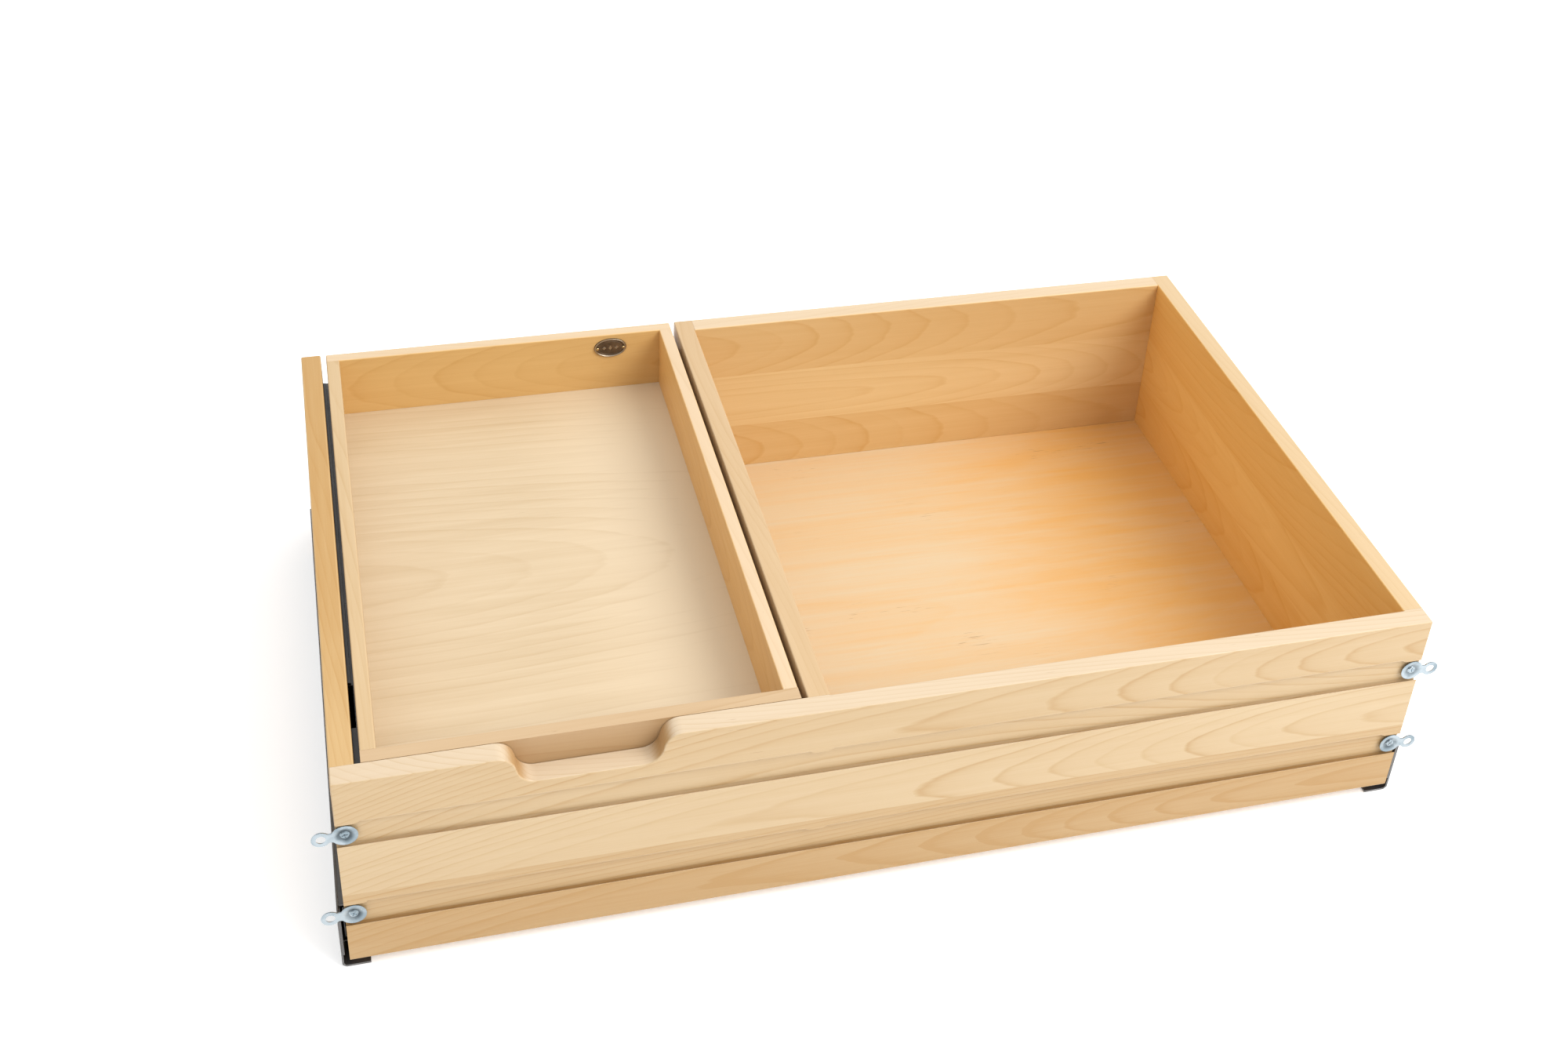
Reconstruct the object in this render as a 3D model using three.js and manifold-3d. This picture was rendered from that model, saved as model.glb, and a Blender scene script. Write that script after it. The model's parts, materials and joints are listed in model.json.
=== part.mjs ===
// A drawer for the space under a desk: a maple box with a divider, a tray that slides
// backwards in its left bay, and ball-bearing slides on floor brackets at both sides.
// Millimetres. +X right, +Y towards the back, +Z up. The origin is on the floor, in the
// middle of the width and depth. Every length below comes from the driving dimensions.

import * as THREE from 'three';
import { mergeVertices } from 'three/addons/utils/BufferGeometryUtils.js';
import Module from 'manifold-3d';

const wasm = await Module();
wasm.setup();

// Driving dimensions of the wooden box
const boxWidth = 894;
const boxDepth = 559;
const boxHeight = 190.5;
const underside = 11.5; // height of the box above the floor
const boardThick = 18;
const woodFit = 0.1; // gap left in glued joints
const bottomThick = 9;
const bottomRise = 5.7; // from the lower edge of the boards to the bottom panel
const housing = 6; // depth of the grooves that hold the bottom panel
const dividerFace = 360; // from the outer left face to the divider's left face
const lowBackDrop = 82; // how far the low back stays under the top edge

// Grooves and finger scoop of the front panel
const grooveDepth = 3.4;
const grooveTall = 22.6;
const grooveUndercut = 3.2; // the foot of each groove slopes down behind its lip by this much
const grooveDrops = [53.8, 139.8]; // from the top edge to the middle of each groove
const scoopFlat = 80;
const scoopDepth = 27;
const scoopRadius = 15;
const scoopSlope = THREE.MathUtils.degToRad(75);

// Tray
const trayGap = 4.8;
const trayThick = 12;
const trayTall = 76;
const trayFrontGap = 0.6;
const trayFloorThick = 6;
const trayFloorDrop = 62.6; // from the top edge to the top of the floor
const trayHousing = 5;

// Badge
const badgeHalfLong = 16;
const badgeHalfTall = 10.5;
const badgeThick = 1.6;
const badgeFromCorner = 49; // from the tray's inner right face to the badge's middle
const badgeDrop = 14.8;

// Main slides, measured outwards from the box's outer face and up from the slide's middle
const slideMiddle = 33; // height of the slide's middle above the floor
const rebateDeep = 8.4;
const rebateTall = 45;
const bracketLeg = [4.8, 6.3];
const bracketTop = 55;
const bracketSheet = 1.6;
const flangeWide = 22;
const bracketFront = 4; // from the front face of the box
const bracketLong = 509;
const cabinetRail = { web: [3.6, 4.7], lip: -4.4, half: 21, sheet: 1.1 };
const middleRail = { web: [1.3, 2.2], lip: -6.4, half: 16.6, sheet: 1.0 };
const drawerRail = { web: [-8.1, -7.1], lip: -1.2, half: 12.5, sheet: 1.0 };
const outerCage = { web: [2.65, 3.15], lip: -1.6, half: 18.5, sheet: 0.6, ball: 1.35, ballAt: 0.4 };
const innerCage = { web: [-0.4, 0.1], lip: -5.6, half: 14.35, sheet: 0.6, ball: 1.3, ballAt: -3.4 };
const railFront = 18.7;
const railBack = 494;
const tongueBack = 548;
const bumperLong = 11;
const cageSpan = [150, 414];
const slideScrews = [60, 262, 455];

// Tray slides, measured outwards from the tray's outer face, so the board's face is at trayGap
const traySlideDrop = 38;
const trayGrooveDeep = 5.2;
const trayGrooveTall = 29.4;
const fixedRail = { web: [8.9, 9.8], lip: 2.3, half: 13.5, sheet: 0.9 };
const trayRail = { web: [0.2, 1.1], lip: 6.2, half: 9.6, sheet: 0.9 };
const trayCage = { web: [6.8, 7.3], lip: 2.8, half: 11.5, sheet: 0.6, ball: 1.1, ballAt: 4.4 };
const fixedRailSpan = [130, 547];
const trayRailSpan = [24, 552];
const trayCageSpan = [175, 388];
const fixedScrews = [160, 520];
const trayScrews = [50, 480];
const latch = { web: [2.0, 3.4], back: 126, pivot: 92, window: [84, 131], tall: 5.5 };

// Screws of the slides: head height, head radius, shank radius and length
const slideScrew = { head: 1.6, radius: 3.4, shank: 1.4, long: 6.5 };
const fixedScrew = { head: 0.9, radius: 2.6, shank: 1.1, long: 5 };
const trayScrew = { head: 0.8, radius: 2.6, shank: 1.1, long: 6 };

// Clips and their screws
const clipInset = 6.6; // from the side edge of the front panel to the clip's screw
const clipReach = 17.3; // from the screw to the middle of the small ring
const clipDisc = 9.8;
const clipRing = 7.1;
const clipHole = 3.5;
const clipThick = 2.2;
const clipNeck = 4.4;
const clipDroop = THREE.MathUtils.degToRad(3);
const clipCountersink = 4.3;
const screwShank = 1.8;
const screwHead = 3.9;
const screwLong = 15;
const pilotGap = 0.3;
const pilotDeep = 15.5; // from the box's outer face
const fixedPilot = 10.6; // from the face of the board beside the tray
const trayPilot = 7.8; // from the tray's outer face

// Colours and finishes
const maple = { color: 0xe3bd85, roughness: 0.5, metalness: 0 };
const paleMaple = { color: 0xecd2a4, roughness: 0.5, metalness: 0 };
const blackSteel = { color: 0x24211f, roughness: 0.35, metalness: 0.7 };
const zinc = { color: 0xb9c2c4, roughness: 0.3, metalness: 0.95 };
const bronze = { color: 0x4a3a2c, roughness: 0.4, metalness: 0.8 };
const brass = { color: 0xb08d4c, roughness: 0.3, metalness: 0.9 };
const blackRubber = { color: 0x1c1c1c, roughness: 0.8, metalness: 0 };

// Derived places: the box's outer faces, its top edge and its front face
const left = -boxWidth / 2;
const right = boxWidth / 2;
const front = -boxDepth / 2;
const back = boxDepth / 2;
const top = underside + boxHeight;
const floorTop = underside + bottomRise + bottomThick;
const boardBack = front + boardThick;
const divider = [left + dividerFace, left + dividerFace + boardThick];
const trayLeft = left + boardThick + trayGap;
const trayRight = divider[0] - trayGap;
const trayFront = boardBack + trayFrontGap;
const trayBack = back - trayFrontGap;
const trayMiddle = (trayLeft + trayRight) / 2;
const traySlideHeight = top - traySlideDrop;

const group = new THREE.Group();

function addMesh(name, geometry, finish) {
  const mesh = new THREE.Mesh(geometry, new THREE.MeshStandardMaterial(finish));
  mesh.name = name;
  group.add(mesh);
}

// A closed geometry as a solid for cutting and joining
function toSolid(geometry) {
  const plain = geometry.clone();
  plain.deleteAttribute('normal');
  plain.deleteAttribute('uv');
  const merged = mergeVertices(plain, 1e-4);
  const vertProperties = new Float32Array(merged.attributes.position.array);
  const triVerts = new Uint32Array(merged.index.array);
  return new wasm.Manifold(new wasm.Mesh({ numProp: 3, vertProperties, triVerts }));
}

function toGeometry(solid) {
  const mesh = solid.getMesh();
  const geometry = new THREE.BufferGeometry();
  geometry.setAttribute('position', new THREE.BufferAttribute(mesh.vertProperties, 3));
  geometry.setIndex(new THREE.BufferAttribute(mesh.triVerts, 1));
  return geometry;
}

function cut(geometry, tools) {
  let solid = toSolid(geometry);
  for (const tool of tools) {
    solid = solid.subtract(toSolid(tool));
  }
  return toGeometry(solid);
}

function join(geometry, extras) {
  let solid = toSolid(geometry);
  for (const extra of extras) {
    solid = solid.add(toSolid(extra));
  }
  return toGeometry(solid);
}

// A block between two ranges along each axis; a range may be given in either order
function block(x, y, z) {
  const size = [x, y, z].map((range) => Math.abs(range[1] - range[0]));
  const middle = [x, y, z].map((range) => (range[0] + range[1]) / 2);
  return new THREE.BoxGeometry(...size).translate(...middle);
}

// An outline drawn in X and Z, pulled along Y between two places
function pullAlongY(shape, y, curveSegments = 6) {
  const options = { depth: y[1] - y[0], bevelEnabled: false, curveSegments };
  const geometry = new THREE.ExtrudeGeometry(shape, options);
  return geometry.rotateX(Math.PI / 2).translate(0, y[1], 0);
}

// An outline drawn in Y and Z, pulled along X between two places
function pullAlongX(shape, x) {
  const geometry = new THREE.ExtrudeGeometry(shape, { depth: x[1] - x[0], bevelEnabled: false });
  return geometry.rotateX(Math.PI / 2).rotateZ(Math.PI / 2).translate(x[0], 0, 0);
}

// A turned piece along Y; the profile's points are [radius, y]
function turnAlongY(profile, segments) {
  const points = profile.map(([radius, y]) => new THREE.Vector2(radius, y));
  return new THREE.LatheGeometry(points, segments);
}

function outline(points) {
  return new THREE.Shape(points.map(([x, z]) => new THREE.Vector2(x, z)));
}

// Finger scoop: a flat run with an S of two arcs at each end
function scoopOutline(middle) {
  const shape = new THREE.Shape();
  const halfFlat = scoopFlat / 2;
  const bottom = top - scoopDepth;
  const lowCentre = bottom + scoopRadius;
  const highCentre = top - scoopRadius;
  const arcs = 2 * scoopRadius * (1 - Math.cos(scoopSlope));
  const straight = (scoopDepth - arcs) / Math.sin(scoopSlope);
  const run = 2 * scoopRadius * Math.sin(scoopSlope) + straight * Math.cos(scoopSlope);
  const spare = 10; // the cutter stands above the board
  const down = -Math.PI / 2;
  shape.moveTo(middle - halfFlat - run, top + spare);
  shape.lineTo(middle - halfFlat - run, top);
  shape.absarc(middle - halfFlat - run, highCentre, scoopRadius, -down, -down - scoopSlope, true);
  shape.absarc(middle - halfFlat, lowCentre, scoopRadius, down - scoopSlope, down, false);
  shape.lineTo(middle + halfFlat, bottom);
  shape.absarc(middle + halfFlat, lowCentre, scoopRadius, down, down + scoopSlope, false);
  shape.absarc(middle + halfFlat + run, highCentre, scoopRadius, -down + scoopSlope, -down, true);
  shape.lineTo(middle + halfFlat + run, top + spare);
  shape.closePath();
  return shape;
}

// Where the four clips turn: side is -1 on the left, 1 on the right
function clipPlaces() {
  const places = [];
  for (const side of [-1, 1]) {
    grooveDrops.forEach((drop, row) => {
      const name = `${side < 0 ? 'left' : 'right'}_${row === 0 ? 'upper' : 'lower'}`;
      places.push({ name, side, x: side * (right - clipInset), z: top - drop });
    });
  }
  return places;
}

// Groove across the front, with a flat floor and its foot cut back at a slope
function frontGroove(drop) {
  const high = top - drop + grooveTall / 2;
  const low = top - drop - grooveTall / 2;
  const deep = front + grooveDepth;
  const foot = low - grooveUndercut;
  const points = [[front - 1, low], [front, low], [deep, foot], [deep, high], [front - 1, high]];
  return pullAlongX(outline(points), [left - 1, right + 1]);
}

function frontPanel() {
  const board = block([left, right], [front, boardBack], [underside, top]);
  const tools = [pullAlongY(scoopOutline(trayMiddle), [front - 1, boardBack + 1])];
  grooveDrops.forEach((drop) => tools.push(frontGroove(drop)));
  for (const place of clipPlaces()) {
    const radius = screwShank + pilotGap;
    const pilot = new THREE.CylinderGeometry(radius, radius, screwLong + 1, 12);
    tools.push(pilot.translate(place.x, front + (screwLong + 1) / 2, place.z));
  }
  const slot = [floorTop - bottomThick, floorTop];
  const inner = [left + boardThick - housing, right - boardThick + housing];
  tools.push(block(inner, [boardBack - housing, boardBack + 1], slot));
  addMesh('front_panel', cut(board, tools), maple);
}

// Holes along X for a row of screws; x is the range that they pass through
function sideHoles(places, x, z, screw) {
  const radius = screw.shank + pilotGap;
  const long = Math.abs(x[1] - x[0]);
  return places.map((along) => {
    const hole = new THREE.CylinderGeometry(radius, radius, long, 10).rotateZ(Math.PI / 2);
    return hole.translate((x[0] + x[1]) / 2, front + along, z);
  });
}

// Groove for a tray slide in the face of a board, cut away from the face in direction side
function traySlideGroove(face, side) {
  const tall = [traySlideHeight - trayGrooveTall / 2, traySlideHeight + trayGrooveTall / 2];
  return block([face - side, face + side * trayGrooveDeep], [boardBack - 1, back + 1], tall);
}

function sides() {
  for (const side of [-1, 1]) {
    const outer = side * right;
    const inner = side * (right - boardThick);
    const board = block([outer, inner], [boardBack + woodFit, back], [underside, top]);
    const rebate = [outer + side, outer - side * rebateDeep];
    const slot = [floorTop - bottomThick, floorTop];
    const tools = [
      block(rebate, [boardBack - 1, back + 1], [underside - 1, underside + rebateTall]),
      block([inner - side, inner + side * housing], [boardBack - 1, back + 1], slot),
      ...sideHoles(slideScrews, [outer, outer - side * pilotDeep], slideMiddle, slideScrew),
    ];
    if (side < 0) {
      tools.push(traySlideGroove(inner, side));
      tools.push(...sideHoles(fixedScrews, [inner, inner - fixedPilot], traySlideHeight, fixedScrew));
    }
    addMesh(side < 0 ? 'left_side' : 'right_side', cut(board, tools), maple);
  }
}

function innerBoards() {
  const depth = [boardBack + woodFit, back];
  const tall = [floorTop + woodFit, top];
  const backWall = [back - boardThick, back];
  const upright = block(divider, depth, tall);
  const face = divider[0];
  const pilots = sideHoles(fixedScrews, [face, face + fixedPilot], traySlideHeight, fixedScrew);
  addMesh('divider', cut(upright, [traySlideGroove(face, 1), ...pilots]), maple);
  const rightBay = [divider[1] + woodFit, right - boardThick - woodFit];
  addMesh('back_panel', block(rightBay, backWall, tall), maple);
  const leftBay = [left + boardThick + woodFit, divider[0] - woodFit];
  const lowTall = [floorTop + woodFit, top - lowBackDrop];
  addMesh('low_back_panel', block(leftBay, backWall, lowTall), maple);
  const inset = boardThick - housing + woodFit;
  const wide = [left + inset, right - inset];
  const slot = [floorTop - bottomThick + woodFit, floorTop - woodFit];
  addMesh('bottom_panel', block(wide, [front + inset, back], slot), paleMaple);
}

function tray() {
  const tall = [top - trayTall, top];
  const floorTopZ = top - trayFloorDrop;
  const slot = [floorTopZ - trayFloorThick, floorTopZ];
  const inner = {
    x: [trayLeft + trayThick - trayHousing, trayRight - trayThick + trayHousing],
    y: [trayFront + trayThick - trayHousing, trayBack - trayThick + trayHousing],
  };
  const groove = block(inner.x, inner.y, slot);
  const wide = [trayLeft, trayRight];
  const frontBoard = block(wide, [trayFront, trayFront + trayThick], tall);
  addMesh('tray_front', cut(frontBoard, [groove]), paleMaple);
  const backBoard = block(wide, [trayBack - trayThick, trayBack], tall);
  addMesh('tray_back', cut(backBoard, [groove]), paleMaple);
  const long = [trayFront + trayThick + woodFit, trayBack - trayThick - woodFit];
  const leftBoard = block([trayLeft, trayLeft + trayThick], long, tall);
  const leftPilots = sideHoles(trayScrews, [trayLeft, trayLeft + trayPilot], traySlideHeight, trayScrew);
  addMesh('tray_left_side', cut(leftBoard, [groove, ...leftPilots]), paleMaple);
  const rightBoard = block([trayRight - trayThick, trayRight], long, tall);
  const rightPilots = sideHoles(trayScrews, [trayRight, trayRight - trayPilot], traySlideHeight, trayScrew);
  addMesh('tray_right_side', cut(rightBoard, [groove, ...rightPilots]), paleMaple);
  const floorX = [inner.x[0] + woodFit, inner.x[1] - woodFit];
  const floorY = [inner.y[0] + woodFit, inner.y[1] - woodFit];
  addMesh('tray_floor', block(floorX, floorY, [slot[0] + woodFit, slot[1] - woodFit]), paleMaple);
}

// Oval plate on the tray's back wall, with a round-headed pin at each end
function badge() {
  const face = trayBack - trayThick;
  const x = trayRight - trayThick - badgeFromCorner;
  const z = top - badgeDrop;
  const oval = new THREE.Shape();
  oval.absellipse(x, z, badgeHalfLong, badgeHalfTall, 0, 2 * Math.PI);
  const plate = pullAlongY(oval, [face - woodFit - badgeThick, face - woodFit], 16);
  const pinAt = badgeHalfLong - 3.2;
  const holes = [];
  for (const end of [-1, 1]) {
    const hole = new THREE.CylinderGeometry(1, 1, 2 * badgeThick + 1, 10);
    holes.push(hole.translate(x + end * pinAt, face - badgeThick, z));
    const shank = 0.7;
    const head = 1.7;
    const profile = [[0, 0], [shank, 0], [shank, -badgeThick], [head, -badgeThick], [0.9, -2.6], [0, -2.9]];
    const pin = turnAlongY(profile.reverse(), 10);
    const tip = face - woodFit;
    addMesh(end < 0 ? 'badge_pin_left' : 'badge_pin_right', pin.translate(x + end * pinAt, tip, z), brass);
  }
  addMesh('badge_plate', cut(plate, holes), bronze);
}

// Cross-section of a rail or cage: a web with a lip at its top and bottom.
// place() turns a distance from the board's face into X.
function channelOutline(section, place, z) {
  const [near, far] = section.web;
  const lipFromFar = Math.abs(section.lip - far) > Math.abs(section.lip - near);
  const outer = lipFromFar ? far : near;
  const inner = lipFromFar ? near : far;
  const half = section.half;
  const low = half - section.sheet;
  return outline([
    [place(outer), z - half],
    [place(section.lip), z - half],
    [place(section.lip), z - low],
    [place(inner), z - low],
    [place(inner), z + low],
    [place(section.lip), z + low],
    [place(section.lip), z + half],
    [place(outer), z + half],
  ]);
}

function channel(section, place, z, y) {
  const shape = channelOutline(section, place, z);
  return pullAlongY(shape, [front + y[0], front + y[1]]);
}

// A cage is a thin channel with balls set through its lips
function ballCage(section, place, z, y, count) {
  const strip = channel(section, place, z, y);
  const balls = [];
  const margin = 2 * section.ball;
  const pitch = (y[1] - y[0] - 2 * margin) / (count - 1);
  for (let i = 0; i < count; i += 1) {
    for (const row of [-1, 1]) {
      const ball = new THREE.IcosahedronGeometry(section.ball, 0);
      const height = z + row * (section.half - section.sheet / 2);
      balls.push(ball.translate(place(section.ballAt), front + y[0] + margin + i * pitch, height));
    }
  }
  return join(strip, balls);
}

// A pan-headed screw lying along X; the head's underside is at x, the tip points to -turn
function sideScrew(x, y, z, turn, shape) {
  const profile = [
    [0, shape.head],
    [shape.radius * 0.6, shape.head],
    [shape.radius, 0],
    [shape.shank, 0],
    [shape.shank, -shape.long],
    [0, -shape.long - shape.shank],
  ].reverse();
  const screw = turnAlongY(profile, 10);
  screw.rotateZ(-turn * Math.PI / 2);
  return screw.translate(x, y, z);
}

// Floor bracket: an angle with its foot turned in under the drawer and slots for screws
function floorBracket(place, z) {
  const [near, far] = bracketLeg;
  const toe = far - flangeWide;
  const bend = 3;
  const shape = outline([
    [place(near), bracketTop],
    [place(near), bend + 1],
    [place(near - bend + bracketSheet), bracketSheet],
    [place(toe), bracketSheet],
    [place(toe), 0],
    [place(far - bend), 0],
    [place(far), bend],
    [place(far), bracketTop],
  ]);
  const y = [front + bracketFront, front + bracketFront + bracketLong];
  const holes = [];
  for (const along of [0.08, 0.5, 0.92]) {
    const hole = new THREE.CylinderGeometry(2.4, 2.4, 6, 12).rotateX(Math.PI / 2);
    const middle = y[0] + along * (y[1] - y[0]);
    holes.push(hole.translate(place(toe + 8), middle, bracketSheet / 2));
  }
  return { shape, y, holes, z };
}

function mainSlide(side) {
  const name = side < 0 ? 'left' : 'right';
  const place = (out) => side * (right + out);
  const z = slideMiddle;
  const bracket = floorBracket(place, z);
  addMesh(`${name}_floor_bracket`, cut(pullAlongY(bracket.shape, bracket.y), bracket.holes), blackSteel);

  const rail = channel(cabinetRail, place, z, [railFront, railBack]);
  const [near, far] = cabinetRail.web;
  const tongueTall = [z - cabinetRail.half + 2, z + cabinetRail.half - 2];
  const tongueX = [place(near), place(far)];
  const tongue = block(tongueX, [front + bracketFront, front + tongueBack], tongueTall);
  addMesh(`${name}_cabinet_rail`, join(rail, [tongue]), blackSteel);

  const slide = [railFront + 1, railBack - bumperLong - 1];
  addMesh(`${name}_middle_rail`, channel(middleRail, place, z, slide), blackSteel);
  const bumperX = [place(near - 0.2), place(-3.6)];
  const bumperY = [front + railBack - bumperLong, front + railBack - 0.3];
  addMesh(`${name}_rear_bumper`, block(bumperX, bumperY, [z - 13, z + 13]), blackRubber);
  addMesh(`${name}_outer_ball_cage`, ballCage(outerCage, place, z, cageSpan, 6), zinc);
  addMesh(`${name}_inner_ball_cage`, ballCage(innerCage, place, z, cageSpan, 6), zinc);

  const seat = place(drawerRail.web[1] + woodFit);
  slideScrews.forEach((along, index) => {
    const screw = sideScrew(seat, front + along, z, side, slideScrew);
    addMesh(`${name}_slide_screw_${index + 1}`, screw, zinc);
  });
  const holes = sideHoles(slideScrews, [seat, place(-rebateDeep)], z, slideScrew);
  addMesh(`${name}_drawer_rail`, cut(channel(drawerRail, place, z, slide), holes), blackSteel);
}

function traySlide(side) {
  const name = side < 0 ? 'left' : 'right';
  const face = side < 0 ? trayLeft : trayRight;
  const place = (out) => face + side * out;
  const z = traySlideHeight;
  const fixedSeat = place(fixedRail.web[0] - woodFit);
  fixedScrews.forEach((along, index) => {
    const screw = sideScrew(fixedSeat, front + along, z, -side, fixedScrew);
    addMesh(`${name}_fixed_rail_screw_${index + 1}`, screw, zinc);
  });
  const fixedHoles = sideHoles(fixedScrews, [fixedSeat, place(trayGap + trayGrooveDeep)], z, fixedScrew);
  addMesh(`${name}_fixed_rail`, cut(channel(fixedRail, place, z, fixedRailSpan), fixedHoles), blackSteel);
  addMesh(`${name}_tray_ball_cage`, ballCage(trayCage, place, z, trayCageSpan, 6), zinc);

  const traySeat = place(trayRail.web[1] + woodFit);
  trayScrews.forEach((along, index) => {
    const screw = sideScrew(traySeat, front + along, z, side, trayScrew);
    addMesh(`${name}_tray_rail_screw_${index + 1}`, screw, zinc);
  });
  const trayHoles = sideHoles(trayScrews, [traySeat, place(0)], z, trayScrew);
  const windowX = [place(trayRail.web[1] + 0.1), place(trayRail.lip + 1)];
  const windowY = [front + latch.window[0], front + latch.window[1]];
  trayHoles.push(block(windowX, windowY, [z + 1, z + trayRail.half + 1]));
  addMesh(`${name}_tray_rail`, cut(channel(trayRail, place, z, trayRailSpan), trayHoles), blackSteel);
  trayLatch(name, place, z);
}

// Latch lever: a flat lever in the tray rail's channel with a round pivot end
function trayLatch(name, place, z) {
  const pivot = front + latch.pivot;
  const tip = front + latch.back;
  const lever = new THREE.Shape();
  const radius = latch.tall;
  lever.absarc(pivot, z, radius, Math.PI / 2, 1.5 * Math.PI, false);
  lever.lineTo(tip, z - 2);
  lever.lineTo(tip, z + radius);
  lever.closePath();
  const thick = latch.web[1] - latch.web[0];
  const geometry = new THREE.ExtrudeGeometry(lever, { depth: thick, bevelEnabled: false, curveSegments: 8 });
  geometry.rotateX(Math.PI / 2).rotateZ(Math.PI / 2);
  const start = Math.min(place(latch.web[0]), place(latch.web[1]));
  addMesh(`${name}_tray_latch`, geometry.translate(start, 0, 0), zinc);
}

// Figure-eight clip: a large dished disc with a countersunk hole, a neck and a small ring
function clip(place) {
  const ringX = place.side * clipReach;
  const face = front + 0.4;
  const y = [face, face + clipThick];
  const disc = new THREE.Shape();
  disc.absarc(0, 0, clipDisc, 0, 2 * Math.PI);
  const ring = new THREE.Shape();
  ring.absarc(ringX, 0, clipRing, 0, 2 * Math.PI);
  const neck = block([0, ringX], y, [-clipNeck, clipNeck]);
  const body = join(pullAlongY(disc, y, 14), [pullAlongY(ring, y, 10), neck]);
  const dish = [[0, 2], [clipCountersink, 1], [clipDisc - 1.6, 0.05], [clipDisc - 1.6, -1], [0, -1]];
  const seat = [[0, 3], [2.8, 3], [2.8, 2], [clipCountersink, 0.9], [clipCountersink, -1], [0, -1]];
  const hole = new THREE.CylinderGeometry(clipHole, clipHole, 3 * clipThick, 20);
  const tools = [
    turnAlongY(dish.reverse(), 28).translate(0, face, 0),
    turnAlongY(seat.reverse(), 16).translate(0, face, 0),
    hole.translate(ringX, face, 0),
  ];
  const geometry = cut(body, tools);
  geometry.rotateY(place.side * clipDroop).translate(place.x, 0, place.z);
  addMesh(`${place.name}_clip`, geometry, zinc);
}

// Countersunk screw with a cross recess that holds a clip
function clipScrew(place) {
  const face = front + 0.9;
  const cone = 2.2;
  const profile = [[0, 0], [screwHead, 0], [screwShank, cone], [screwShank, 12.2], [0, 13.8]];
  const recess = 0.9;
  const tools = [0, 1].map((turn) => {
    const bar = block([-2.1, 2.1], [-1, 1.4], [-recess / 2, recess / 2]);
    return bar.rotateY(Math.PI / 4 + turn * Math.PI / 2);
  });
  const geometry = cut(turnAlongY(profile, 16), tools);
  addMesh(`${place.name}_clip_screw`, geometry.translate(place.x, face, place.z), zinc);
}

frontPanel();
sides();
innerBoards();
tray();
badge();
for (const side of [-1, 1]) {
  mainSlide(side);
  traySlide(side);
}
for (const place of clipPlaces()) {
  clip(place);
  clipScrew(place);
}

export default group;
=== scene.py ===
import json
import math
import bpy
import bmesh
from mathutils import Matrix, Vector
from mathutils.bvhtree import BVHTree


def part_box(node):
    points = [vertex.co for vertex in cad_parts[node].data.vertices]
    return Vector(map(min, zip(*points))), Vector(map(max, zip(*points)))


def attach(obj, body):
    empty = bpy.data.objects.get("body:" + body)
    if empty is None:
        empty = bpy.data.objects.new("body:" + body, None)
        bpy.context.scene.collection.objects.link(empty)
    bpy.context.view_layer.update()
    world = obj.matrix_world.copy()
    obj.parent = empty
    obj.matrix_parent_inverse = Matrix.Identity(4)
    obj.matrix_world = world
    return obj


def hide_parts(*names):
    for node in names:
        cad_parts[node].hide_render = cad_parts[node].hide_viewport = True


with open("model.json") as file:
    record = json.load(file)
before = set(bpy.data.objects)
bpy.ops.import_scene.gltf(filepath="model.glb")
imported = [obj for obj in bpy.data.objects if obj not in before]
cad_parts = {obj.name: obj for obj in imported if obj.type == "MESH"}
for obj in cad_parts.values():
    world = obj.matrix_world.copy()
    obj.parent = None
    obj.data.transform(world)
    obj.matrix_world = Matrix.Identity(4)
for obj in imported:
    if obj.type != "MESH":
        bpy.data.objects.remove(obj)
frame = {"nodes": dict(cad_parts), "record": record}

scene = bpy.context.scene
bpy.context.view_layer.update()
mm = 0.001
joined = 0.001 * mm  # corners nearer than this are one corner
bodyOf = {}
for bodyName, members in frame["record"]["behaviour"]["bodies"].items():
    for member in members:
        bodyOf[member] = bodyName
print("frame loaded:", len(frame["nodes"]), "nodes")

# camera

cameraLook = {
    "place": (-0.4093, -1.3045, 1.2510),
    "turn": (-17.079, 57.041, 3.924),  # heading, lean and roll in degrees
    "lens": 44.21,
    "shift": (-0.03, -0.125),
}


def makeCamera(look):
    camera = bpy.data.objects.new("camera", bpy.data.cameras.new("camera"))
    scene.collection.objects.link(camera)
    camera.data.sensor_width = 36
    camera.data.lens = look["lens"]
    camera.data.shift_x, camera.data.shift_y = look["shift"]
    camera.data.clip_start = 0.02
    heading, lean, roll = (math.radians(angle) for angle in look["turn"])
    turn = Matrix.Rotation(heading, 4, "Z") @ Matrix.Rotation(lean, 4, "X") @ Matrix.Rotation(roll, 4, "Z")
    camera.matrix_world = Matrix.Translation(look["place"]) @ turn
    scene.camera = camera


makeCamera(cameraLook)


# small helpers for node trees

def addNode(tree, kind, **settings):
    made = tree.nodes.new(kind)
    for key, value in settings.items():
        setattr(made, key, value)
    return made


def feed(tree, socket, value):
    if isinstance(value, bpy.types.NodeSocket):
        tree.links.new(value, socket)
    else:
        socket.default_value = value


def axesOf(tree, vector):
    made = addNode(tree, "ShaderNodeSeparateXYZ")
    tree.links.new(vector, made.inputs[0])
    return made.outputs


def calc(tree, operation, first, second=0.0, third=0.0, clamp=False):
    made = addNode(tree, "ShaderNodeMath", operation=operation, use_clamp=clamp)
    for socket, value in zip(made.inputs, (first, second, third)):
        feed(tree, socket, value)
    return made.outputs[0]


def vectorCalc(tree, operation, first, second):
    made = addNode(tree, "ShaderNodeVectorMath", operation=operation)
    feed(tree, made.inputs[0], first)
    feed(tree, made.inputs[1], second)
    return made.outputs[0]


def facingOf(tree, vector, direction):
    made = addNode(tree, "ShaderNodeVectorMath", operation="DOT_PRODUCT")
    tree.links.new(vector, made.inputs[0])
    made.inputs[1].default_value = direction
    return made.outputs["Value"]


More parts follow.
